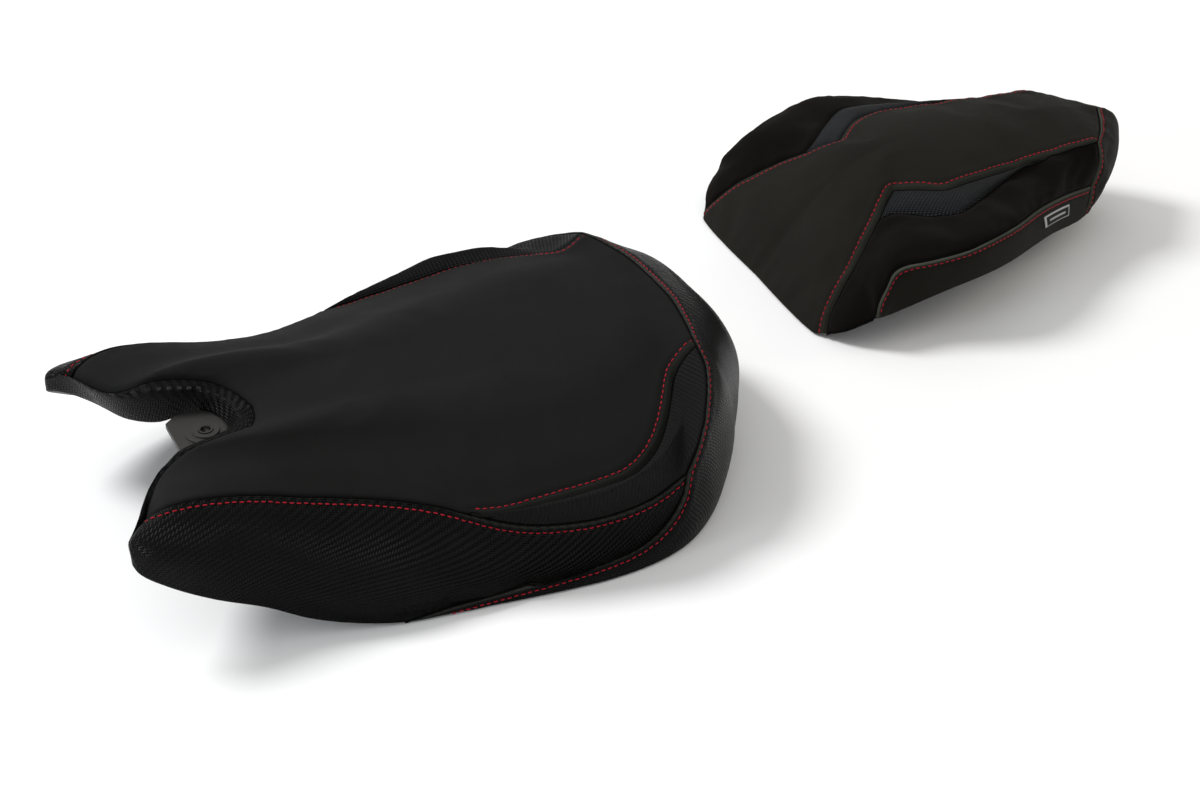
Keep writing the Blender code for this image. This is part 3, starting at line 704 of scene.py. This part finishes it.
def stitches(path, ways):
    """A dashed line of thread: a bent capsule for each stitch, with its ends in the fabric."""
    points, way = resampled(path, ways)
    verts, faces, along = [], [], []
    for k in range(len(points) - 1):
        run = unit(points[k + 1] - points[k])
        up = unit(way[k] + way[k + 1])
        up = unit(up - run * (up @ run))
        across = np.cross(run, up)
        centre = (points[k] + points[k + 1]) / 2 + 0.12 * math.sin(2.4 * k) * across
        faces += ring_faces(STITCH_RINGS, len(verts))
        for t in np.linspace(-1, 1, STITCH_RINGS):
            thick = STITCH_RADIUS * (1 - 0.75 * abs(t) ** 5)
            arch = STITCH_RADIUS * (0.62 - 0.85 * abs(t) ** 3)
            spine = centre + run * (0.5 * STITCH_LENGTH * t) + up * arch
            for angle in ANGLES:
                verts.append(spine + thick * (math.cos(angle) * across * 1.1 + math.sin(angle) * up))
                along.append((0.5 * STITCH_LENGTH * t, angle, k))
    return np.array(verts), faces, {"thread": np.array(along)}


def cord(path, ways):
    """A closed round cord along a path."""
    run = unit(np.gradient(path, axis=0))
    up = unit(ways - run * (ways * run).sum(1, keepdims=True))
    verts = []
    for centre, one, two in zip(path, np.cross(run, up), up):
        for angle in ANGLES:
            verts.append(centre + CORD_RADIUS * (math.cos(angle) * one + math.sin(angle) * two))
    return np.array(verts), ring_faces(len(path)), {}


class Under:
    """The smooth underside of a seat, which the cover's hem lies on."""

    def __init__(self, bottom):
        grid = bottom(np.linspace(0, 1, 100), np.linspace(0, 1, 70))
        grid = np.concatenate([(grid * (1, -1, 1))[:, ::-1], grid[:, 1:]], axis=1)
        self.tree = BVHTree.FromPolygons([tuple(p) for p in grid.reshape(-1, 3)],
                                         [tuple(f) for f in grid_faces(*grid.shape[:2])])

    def nearest(self, place):
        """The point of the underside nearest to a place, and the downward direction there."""
        found, way, _, _ = self.tree.find_nearest(Vector(place))
        way = np.array(way)
        return np.array(found), way * (1 if way[2] < 0 else -1)

    def inward(self, place, along):
        """The direction across the underside from its edge."""
        start, way = self.nearest(place)
        across = unit(np.cross(along, way))
        gains = [np.linalg.norm(self.nearest(start + across * 3 * turn)[0] - start) for turn in (1, -1)]
        return across * (1 if gains[0] >= gains[1] else -1)

    def walk(self, place, inward, distances):
        """Points on the underside at distances from its edge."""
        at, done, row = self.nearest(place)[0], 0.0, []
        for distance in distances:
            at, way = self.nearest(at + inward * (distance - done))
            done = distance
            row.append(at + way * HEM_LIFT)
        return row


def hem(panel, side, under):
    """The fabric carried on from a base edge and inward under the pan, as rows that start at the edge."""
    edge = panel.border(side, panel.points)
    run = unit(np.gradient(edge, axis=0))
    inward = np.array([under.inward(place, along) for place, along in zip(edge, run)])
    trial = np.arange(1, 2 * HEM_WIDTH, 2.0)
    widths = []
    for place, way in zip(edge, inward):
        path = np.array(under.walk(place, way, trial))
        gains = np.linalg.norm(np.diff(path, axis=0), axis=1)
        stuck = np.nonzero(gains < 1.0)[0]
        widths.append(min(HEM_WIDTH, HEM_SHARE * (trial[stuck[0]] if len(stuck) else trial[-1])))
    widths = np.convolve(np.pad(widths, 4, mode="edge"), np.ones(9) / 9, mode="valid")
    rows = np.array([under.walk(place, way, HEM_STEPS * max(width, 3))
                     for place, way, width in zip(edge, inward, widths)])
    for _ in range(8):
        rows[1:-1] = (rows[:-2] + 2 * rows[1:-1] + rows[2:]) / 4
    rows[:, -1, 2] += 0.3
    return np.concatenate([edge[:, None], rows], axis=1)


def rolled(panel, side, under):
    """Rounds the panel's base edge, and gives the hem that starts there."""
    fold = hem(panel, side, under)
    points = panel.points
    strip = {"outer": points[:, ::-1], "inner": points, "front": points.swapaxes(0, 1),
             "rear": points[::-1].swapaxes(0, 1)}[side]
    for upper, lower in zip(strip, fold):
        above, below = runs(upper), runs(lower)
        limit = min(HEM_ROLL, 0.45 * above[-1], 0.45 * below[-1])
        if limit < 0.3:
            continue
        start, stop = read(limit, above, upper), read(limit, below, lower)
        corner = upper[0].copy()
        for row, run, turn in ((upper, above, -1), (lower, below, 1)):
            for j in np.nonzero(run < limit)[0]:
                t = 0.5 * (1 + turn * run[j] / limit)
                row[j] = (1 - t) ** 2 * start + 2 * t * (1 - t) * corner + t * t * stop
    return fold


def laid_out(grid, whole):
    """Distances along and across a grid, for the weave to follow."""
    along = np.cumsum(np.pad(np.linalg.norm(np.diff(grid, axis=0), axis=2), ((1, 0), (0, 0))), axis=0)
    across = np.cumsum(np.pad(np.linalg.norm(np.diff(grid, axis=1), axis=2), ((0, 0), (1, 0))), axis=1)
    if whole:
        across -= across[:, [grid.shape[1] // 2]]
    return np.stack([along, across, np.zeros_like(along)], axis=-1)


def tailor(seat, under, looks):
    """Builds every panel's mesh with its hems, and its stitches."""
    for panel in seat.panels:
        shape(panel)
    for panel in seat.panels:
        cloth = laid_out(panel.grid, panel.whole)
        faces = grid_faces(*panel.points.shape[:2])[:, ::panel.sign]
        hems = [(side, rolled(panel, side, under)) for side in panel.edges("base")]
        points, cloths, every = [panel.points.reshape(-1, 3)], [cloth.reshape(-1, 3)], [faces]
        for side, fold in hems:
            first = sum(len(part) for part in points)
            run = np.array([runs(row) for row in fold])
            step = {"outer": (0, 1, 0), "inner": (0, -1, 0), "front": (-1, 0, 0), "rear": (1, 0, 0)}[side]
            cloths.append((panel.border(side, cloth)[:, None] + run[..., None] * step).reshape(-1, 3))
            points.append(fold.reshape(-1, 3))
            down = grid_normals(fold)[:, 4:, 2].mean() < 0
            every.append(grid_faces(*fold.shape[:2], first)[:, ::1 if down else -1])
        points, cloths, faces = np.vstack(points), np.vstack(cloths), np.vstack(every)
        # The fold mark is the painted highlight on a seam's fold, and strip the band beside the stitches;
        # both go to the mesh as point values
        marks = [np.pad(mark.ravel(), (0, len(points) - mark.size)) for mark in (panel.fold, panel.strip)]
        for label, mirror in ((("", 1),) if panel.whole else SIDES):
            place = seat.world(points * (1, mirror, 1))
            shown, kept, (weave, fold, strip) = welded(place, faces[:, ::mirror], cloths, *marks)
            name = "_".join(part for part in (seat.word, panel.name, label) if part)
            obj = mesh_object(name, shown, kept, cloth=weave, fold=fold, strip=strip)
            nodes = [node + "_" + label if label else node for node in panel.nodes]
            seat.add(obj, looks[panel.look], nodes, SLOTS.get(panel.look, panel.look))
        sew(seat, panel, looks)


def sew(seat, panel, looks):
    """The panel's thread, then the cord in its seam, each on both sides."""
    chosen = styled(panel)
    seam = [panel.border(panel.side, grid)[chosen] for grid in (panel.points, panel.out)]
    rows = [("seam", "seam", cord, seam)]
    if "stitch" in panel.style:
        rows.insert(0, ("stitch", "thread", stitches, stitch_line(panel)))
    for kind, look, made, (path, ways) in rows:
        for label, mirror in SIDES:
            points, faces, marks = made(path * (1, mirror, 1), ways * (1, mirror, 1))
            name = "%s_%s_%s_0_%s" % (seat.word, panel.name, kind, label)
            seat.add(mesh_object(name, seat.world(points), faces, **marks), looks[look])


# ---------------------------------------------------------------- materials


class Nodes:
    """A node material, with short ways to add maths to it."""

    def __init__(self, name, color, roughness, **sockets):
        self.material = bpy.data.materials.new(name)
        self.material.use_nodes = True
        self.tree = self.material.node_tree
        self.shader = self.tree.nodes["Principled BSDF"]
        self.put("Base Color", (*color, 1))
        self.put("Roughness", roughness)
        for key, value in sockets.items():
            self.put(key.replace("_", " "), value)

    def put(self, socket, value):
        target = self.shader.inputs[socket]
        if isinstance(value, bpy.types.NodeSocket):
            self.tree.links.new(value, target)
        else:
            target.default_value = value

    def node(self, kind, *values, **settings):
        node = self.tree.nodes.new("ShaderNode" + kind)
        for key, value in settings.items():
            if key in ("Scale", "Detail", "Roughness", "Distance", "Strength"):
                node.inputs[key].default_value = value
            else:
                setattr(node, key, value)
        for socket, value in zip(node.inputs, values):
            if isinstance(value, bpy.types.NodeSocket):
                self.tree.links.new(value, socket)
            elif value is not None:
                socket.default_value = value
        return node

    def math(self, operation, *values):
        return self.node("Math", *values, operation=operation).outputs[0]

    def times(self, *values):
        return self.math("MULTIPLY", *values)

    def attribute(self, name):
        return self.node("Attribute", attribute_name=name)

    def noise(self, scale, detail=4.0, roughness=0.6):
        node = self.node("TexNoise", Scale=scale, Detail=detail, Roughness=roughness)
        self.tree.links.new(self.node("TexCoord").outputs["Object"], node.inputs["Vector"])
        return node.outputs[0]

    def wave(self, value, length=1.0):
        """Round ridges from 0 to 1, one for each length."""
        return self.math("ABSOLUTE", self.math("SINE", self.times(value, math.pi / length)))

    def mix(self, share, one, two):
        """A colour between two colours."""
        return self.node("Mix", share, *[None] * 5, one, two, data_type="RGBA").outputs[2]

    def ramp(self, factor, *stops):
        node = self.node("ValToRGB", factor)
        ramp = node.color_ramp
        while len(ramp.elements) < len(stops):
            ramp.elements.new(1.0)
        for element, (place, color) in zip(ramp.elements, stops):
            element.position = place
            element.color = (*color, 1)
        return node.outputs[0]

    def relief(self, *layers):
        """Bumps on bumps, each layer a height, a depth in metres and a strength, the broadest first."""
        under = None
        for height, depth, strength in layers:
            bump = self.node("Bump", Distance=depth, Strength=strength)
            self.tree.links.new(height, bump.inputs["Height"])
            if under is not None:
                self.tree.links.new(under, bump.inputs["Normal"])
            under = bump.outputs[0]
        self.put("Normal", under)

    def remap(self, value, low, high):
        """A 0 to 1 value spread between two numbers."""
        return self.math("MULTIPLY_ADD", value, high - low, low)


def gray(level):
    """A colour without a tint."""
    return (level, level, level)


def scaled(color, share):
    return tuple(share * part for part in color)


def cloth_axes(nodes, size):
    """The weave's two distances in threads of a size in millimetres."""
    parts = nodes.node("SeparateXYZ", nodes.attribute("cloth").outputs["Vector"])
    return [nodes.math("DIVIDE", parts.outputs[k], size) for k in (0, 1)]


def colour_with_painted_highlights_and_print(nodes, plain, fold, strip=0.14, blotch=0.25, glint=None):
    """A cloudy base colour mixed towards a lighter one: a painted highlight on a seam's fold, a lighter strip
    beside its stitches, the painted highlight given as glint, and on the label its pale print.
    """
    uneven = nodes.remap(nodes.noise(38), 0.55, 1.35)
    # painted highlight along each seam's fold, patchy by noise
    on_fold = nodes.times(nodes.attribute("fold").outputs["Fac"], uneven)
    on_strip = nodes.times(nodes.attribute("strip").outputs["Fac"], strip)
    share = nodes.math("MAXIMUM", on_fold, on_strip)
    if glint is not None:
        share = nodes.math("MAXIMUM", share, glint)
    cloudy = nodes.mix(nodes.noise(22, 3), (*scaled(plain, 1 - blotch), 1), (*scaled(plain, 1 + blotch), 1))
    nodes.put("Base Color", nodes.mix(share, cloudy, (*fold, 1)))


def top_fabric(name, plain, fold, rough):
    nodes = Nodes(name, plain, rough, Sheen_Weight=0.01, Sheen_Roughness=0.5, Specular_IOR_Level=0.08)
    # fold is the lighter colour: the painted highlight on seam folds, which the strip beside the stitches
    # also lightens towards
    colour_with_painted_highlights_and_print(nodes, plain, fold)
    pebble = nodes.node("TexVoronoi", Scale=1100.0, feature="SMOOTH_F1").outputs["Distance"]
    grain = nodes.math("MULTIPLY_ADD", pebble, 0.8, nodes.noise(1900, 2, 0.7))
    nodes.relief((nodes.noise(90, 3), 0.0006, 0.35), (grain, 0.00022, 0.75))
    nodes.put("Roughness", nodes.remap(nodes.noise(30), rough - 0.08, rough + 0.06))
    return nodes.material


def carbon_vinyl():
    """Coated vinyl embossed with a twill: two threads over and two under, a step on in each row."""
    plain = gray(0.0008)
    nodes = Nodes("carbon_vinyl", plain, 0.3, Specular_IOR_Level=0.1)
    x, y = cloth_axes(nodes, 1.6)
    place = nodes.math("ADD", nodes.math("FLOOR", x), nodes.math("FLOOR", y))
    warp = nodes.math("LESS_THAN", nodes.math("FLOORED_MODULO", place, 4), 1.5)
    rows = nodes.times(nodes.wave(x), warp)
    columns = nodes.times(nodes.wave(y), nodes.math("SUBTRACT", 1.0, warp))
    weave = nodes.math("POWER", nodes.math("MAXIMUM", nodes.math("ADD", rows, columns), 0.0001), 0.6)
    # Painted highlight: patches of the raised weft threads, and the seam folds, are lightened towards a pale
    # colour
    patchy = nodes.remap(nodes.noise(14), -0.05, 0.5)
    glint = nodes.times(nodes.times(rows, patchy), 0.45)
    colour_with_painted_highlights_and_print(nodes, plain, (0.030, 0.031, 0.026), 0.02, 0.2, glint)
    nodes.relief((nodes.noise(60, 3), 0.0008, 0.4), (weave, 0.0007, 1.0))
    nodes.put("Roughness", nodes.math("MULTIPLY_ADD", warp, 0.12, nodes.remap(nodes.noise(45), 0.22, 0.36)))
    return nodes.material


def ribbed_mesh(name, plain):
    """Mesh fabric with rows of small raised dots."""
    nodes = Nodes(name, plain, 0.5, Sheen_Weight=0.005, Specular_IOR_Level=0.16)
    x, y = cloth_axes(nodes, 1.0)
    swing = nodes.math("SINE", nodes.times(y, 2 * math.pi / 1.5))
    dots = nodes.math("MULTIPLY_ADD", swing, 0.35, 0.65)
    rib = nodes.math("POWER", nodes.math("MAXIMUM", nodes.wave(x, 2.8), 0.0001), 0.7)
    height = nodes.times(rib, dots)
    # Painted highlight: the tops of the raised dots are lightened towards a colour eight times the plain one
    glint = nodes.times(nodes.math("POWER", height, 3.0), nodes.remap(nodes.noise(20), 0.1, 1.1))
    colour_with_painted_highlights_and_print(nodes, plain, scaled(plain, 8), 0.0, 0.15, glint)
    nodes.relief((nodes.noise(70, 3), 0.0006, 0.3), (height, 0.0008, 1.0))
    nodes.put("Roughness", nodes.remap(height, 0.8, 0.4))
    return nodes.material


def suede():
    plain = (0.0026, 0.0021, 0.0017)
    nodes = Nodes("suede", plain, 0.92, Sheen_Weight=0.03, Sheen_Roughness=0.45, Specular_IOR_Level=0.06,
                  Sheen_Tint=(1.0, 0.9, 0.8, 1))
    colour_with_painted_highlights_and_print(nodes, plain, (0.03, 0.028, 0.022), 0.0, 0.35)
    nodes.relief((nodes.noise(55, 4), 0.0012, 0.35), (nodes.noise(1500, 3, 0.75), 0.0003, 0.8))
    return nodes.material


def thread():
    """Twisted red thread: its plies follow the distance along a stitch and the angle round it."""
    nodes = Nodes("red_thread", (0.45, 0.006, 0.022), 0.6, Sheen_Weight=0.05, Specular_IOR_Level=0.15)
    parts = nodes.node("SeparateXYZ", nodes.attribute("thread").outputs["Vector"])
    twist = nodes.math("ADD", nodes.times(parts.outputs[0], 5.5), parts.outputs[1])
    plies = nodes.math("ABSOLUTE", nodes.math("SINE", twist))
    nodes.relief((plies, 0.00015, 0.8))
    # Painted shade: the base colour darkens into the grooves between the plies
    nodes.put("Base Color", nodes.ramp(plies, (0.0, (0.14, 0.002, 0.008)), (0.55, (0.44, 0.006, 0.022))))
    return nodes.material


def molded(name, color, roughness, grain, depth, **sockets):
    """Moulded plastic or rubber with a fine grain."""
    nodes = Nodes(name, color, roughness, **sockets)
    nodes.put("Base Color", nodes.ramp(nodes.noise(26, 5), (0.25, scaled(color, 0.85)),
                                       (0.75, scaled(color, 1.15))))
    cells = nodes.node("TexVoronoi", Scale=grain).outputs["Distance"]
    nodes.relief((nodes.noise(120, 4), 0.0003, 0.3), (cells, depth, 0.6))
    nodes.put("Roughness", nodes.remap(nodes.noise(60), roughness - 0.07, roughness + 0.07))
    return nodes.material


def steel(name, shade):
    """Plated steel with drawn marks, darker with a lower shade."""
    nodes = Nodes(name, (0.55, 0.55, 0.53), 0.32, Metallic=1.0)
    marks = nodes.node("TexNoise", Scale=220.0, Detail=6.0)
    drawn = nodes.node("Mapping", nodes.node("TexCoord").outputs["Object"])
    drawn.inputs["Scale"].default_value = (1, 14, 1)
    nodes.tree.links.new(drawn.outputs[0], marks.inputs["Vector"])
    nodes.relief((marks.outputs[0], 0.0001, 0.5))
    nodes.put("Base Color", nodes.ramp(nodes.noise(90), (0.3, scaled((0.42, 0.42, 0.40), shade)),
                                       (0.7, scaled((0.62, 0.61, 0.57), shade))))
    nodes.put("Roughness", nodes.remap(nodes.noise(70), 0.25, 0.42))
    return nodes.material


def woven_label():
    nodes = Nodes("label_weave", (0.03, 0.03, 0.03), 0.8, Sheen_Weight=0.02, Specular_IOR_Level=0.1)
    x, y = cloth_axes(nodes, 0.35)
    waves = [nodes.math("SINE", nodes.times(part, math.pi)) for part in (x, y)]
    nodes.relief((nodes.times(*waves), 0.0001, 0.6))
    colour_with_painted_highlights_and_print(nodes, gray(0.008), gray(0.42), 0.0)
    return nodes.material


def make_looks():
    return {
        # The second colour of each top fabric is the painted highlight on seam folds, which the strip beside
        # the stitches also lightens towards
        "rider_top": top_fabric("rider_top", (0.0066, 0.0067, 0.0065), (0.045, 0.045, 0.038), 0.78),
        "pillion_top": top_fabric("pillion_top", (0.0080, 0.0073, 0.0054), (0.06, 0.064, 0.05), 0.74),
        "carbon_vinyl": carbon_vinyl(),
        "ribbed_mesh": ribbed_mesh("ribbed_mesh", (0.0014, 0.0014, 0.0016)),
        "blue_mesh": ribbed_mesh("blue_mesh", (0.0028, 0.0032, 0.0040)),
        "suede": suede(),
        "thread": thread(),
        # seam_shadow: painted shade in each seam's valley, on the cord that closes it
        "seam": molded("seam_shadow", gray(0.0012), 0.8, 900.0, 0.0001, Specular_IOR_Level=0.05),
        "pan_plastic": molded("pan_plastic", (0.024, 0.0225, 0.021), 0.5, 1500.0, 0.00015,
                              Specular_IOR_Level=0.3),
        "pad_rubber": molded("pad_rubber", gray(0.012), 0.7, 1100.0, 0.00012),
        "zinc_steel": steel("zinc_steel", 1.0),
        "dark_steel": steel("dark_steel", 0.15),
        "label_weave": woven_label(),
    }


# ---------------------------------------------------------------- the seat


def cut(seat, surfaces, *rows):
    """A seat's panels, each with its borders, its look and the edge that its style is about."""
    for name, borders, look, side, style in rows:
        Panel(seat, name, surfaces[name], borders, look, side, style)
    return Under(surfaces["bottom"])


def rider_panels(seat):
    """The rider seat's panels, and its underside."""
    return cut(
        seat, rider_surfaces(),
        ("top", "seam seam centre seam", "rider_top", "outer",
         {"start": FORK, "stitch": [(FORK, 3.0), (0.66, 6.0)]}),
        ("rear_band", "seam base centre point", "carbon_vinyl", "front",
         {"stitch": [(0.66, 3.4), (0.74, 4.8)], "fold": [(0.69, 2.0), (0.75, 1.4), (1, 1.2)]}),
        ("notch_lining", "seam base centre seam", "carbon_vinyl", "front", {}),
        ("side", "seam seam seam base", "carbon_vinyl", "inner",
         {"stitch": 4.5, "fold": [(0.5, 0.8), (0.56, 1.3)], "light": [(0, 0.1), (0.5, 0.2), (0.58, 0.8)]}),
        ("insert", "point seam seam seam", "ribbed_mesh", "inner", {}))


def pillion_panels(seat):
    """The passenger seat's panels, and its underside."""
    return cut(
        seat, pillion_surfaces(),
        ("top", "base seam centre seam", "pillion_top", "outer", {"stitch": 6.0}),
        ("rear_cap", "seam base centre point", "pillion_top", "front",
         {"stitch": 4.0, "fold": 1.6, "light": 0.8}),
        ("upper_insert", "seam point seam seam", "blue_mesh", "outer", {}),
        ("main_insert", "point seam seam seam", "suede", "outer", {}),
        ("lower_band", "point seam seam base", "pillion_top", "inner",
         {"stitch": 4.6, "fold": [(0, 2.6), (0.28, 2.2), (0.42, 1.5), (1, 1.3)]}))


def side_label(seat, looks):
    """A plain woven label on the left of the lower band, with a pale edge, a pale bar and sewn-down ends."""
    panel = next(p for p in seat.panels if p.name == "lower_band")
    grid = panel.surface(*(np.linspace(*span, count) for span, count in zip((LABEL_U, LABEL_V), LABEL_CELLS)))
    along, across = (np.linspace(-1, 1, count) for count in LABEL_CELLS)
    steps_in = [np.minimum(np.arange(count), np.arange(count)[::-1]) for count in LABEL_CELLS]
    rise = np.minimum.outer(*steps_in)
    top = grid + grid_normals(grid) * panel.sign * (0.55 + 0.75 * np.minimum(rise, 2)[..., None] / 2)
    bar = (np.abs(along) < 0.62)[:, None] & (np.abs(across) < 0.16)
    pale = np.maximum(np.where((rise >= 1) & (rise <= 2), 1.0, 0.0), 0.8 * bar)
    obj = mesh_object("pillion_label", seat.world(top * (1, -1, 1)).reshape(-1, 3),
                      grid_faces(*LABEL_CELLS)[:, ::-panel.sign], cloth=laid_out(grid, False).reshape(-1, 3),
                      fold=pale.ravel(), strip=np.zeros(pale.size))
    seat.add(obj, looks["label_weave"], ["pillion_side_label"], "label_weave")


def hard_parts(looks):
    """The CAD's pans, pads, tongues, striker and sleeve, with their materials."""
    for name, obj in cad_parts.items():
        for word, look in (("pan", "pan_plastic"), ("pad", "pad_rubber"), ("tongue", "zinc_steel"),
                           ("striker", "zinc_steel"), ("sleeve", "dark_steel")):
            if word in name.split("_"):
                obj.data.materials.clear()
                obj.data.materials.append(looks[look])


def stage():
    """A white floor, soft light from the upper left, and the camera of the photo."""
    corners = [(-1, -1), (1, -1), (1, 1), (-1, 1)]
    floor = mesh_object("floor", [(x * FLOOR_HALF, y * FLOOR_HALF, -FLOOR_DROP) for x, y in corners],
                        [(0, 1, 2, 3)], smooth=False)
    floor.data.materials.append(Nodes("floor_white", gray(0.93), 0.95, Specular_IOR_Level=0.0).material)
    scene = bpy.context.scene
    scene.world = bpy.data.worlds.new("sky")
    scene.world.use_nodes = True
    sky = scene.world.node_tree.nodes["Background"]
    sky.inputs["Color"].default_value = (1, 1, 1, 1)
    sky.inputs["Strength"].default_value = SKY
    scene.view_settings.view_transform = "Standard"
    for name, (place, size, power, color) in LAMPS.items():
        light = bpy.data.lights.new(name, "AREA")
        light.shape, light.size, light.energy, light.color = "DISK", size, power, color
        aimed(name, light, place, -Vector(place))
    azimuth, elevation = math.radians(AZIMUTH), math.radians(ELEVATION)
    level = math.cos(elevation)
    ahead = (-math.sin(azimuth) * level, math.cos(azimuth) * level, -math.sin(elevation))
    camera = bpy.data.cameras.new("camera")
    camera.lens, camera.sensor_width = LENS, SENSOR
    scene.camera = aimed("camera", camera, EYE, Vector(ahead))


def aimed(name, data, place, ahead):
    """A lamp or camera at a place, looking in a direction."""
    obj = bpy.data.objects.new(name, data)
    obj.location = place
    obj.rotation_mode = "QUATERNION"
    obj.rotation_quaternion = ahead.to_track_quat("-Z", "Y")
    bpy.context.scene.collection.objects.link(obj)
    return obj


looks = make_looks()
rider, pillion = seats()
unders = (rider_panels(rider), pillion_panels(pillion))
for seat in (rider, pillion):
    share_directions(seat)
blow(rider.panels + pillion.panels)
for seat, under in zip((rider, pillion), unders):
    tailor(seat, under, looks)
side_label(pillion, looks)
hard_parts(looks)
stage()
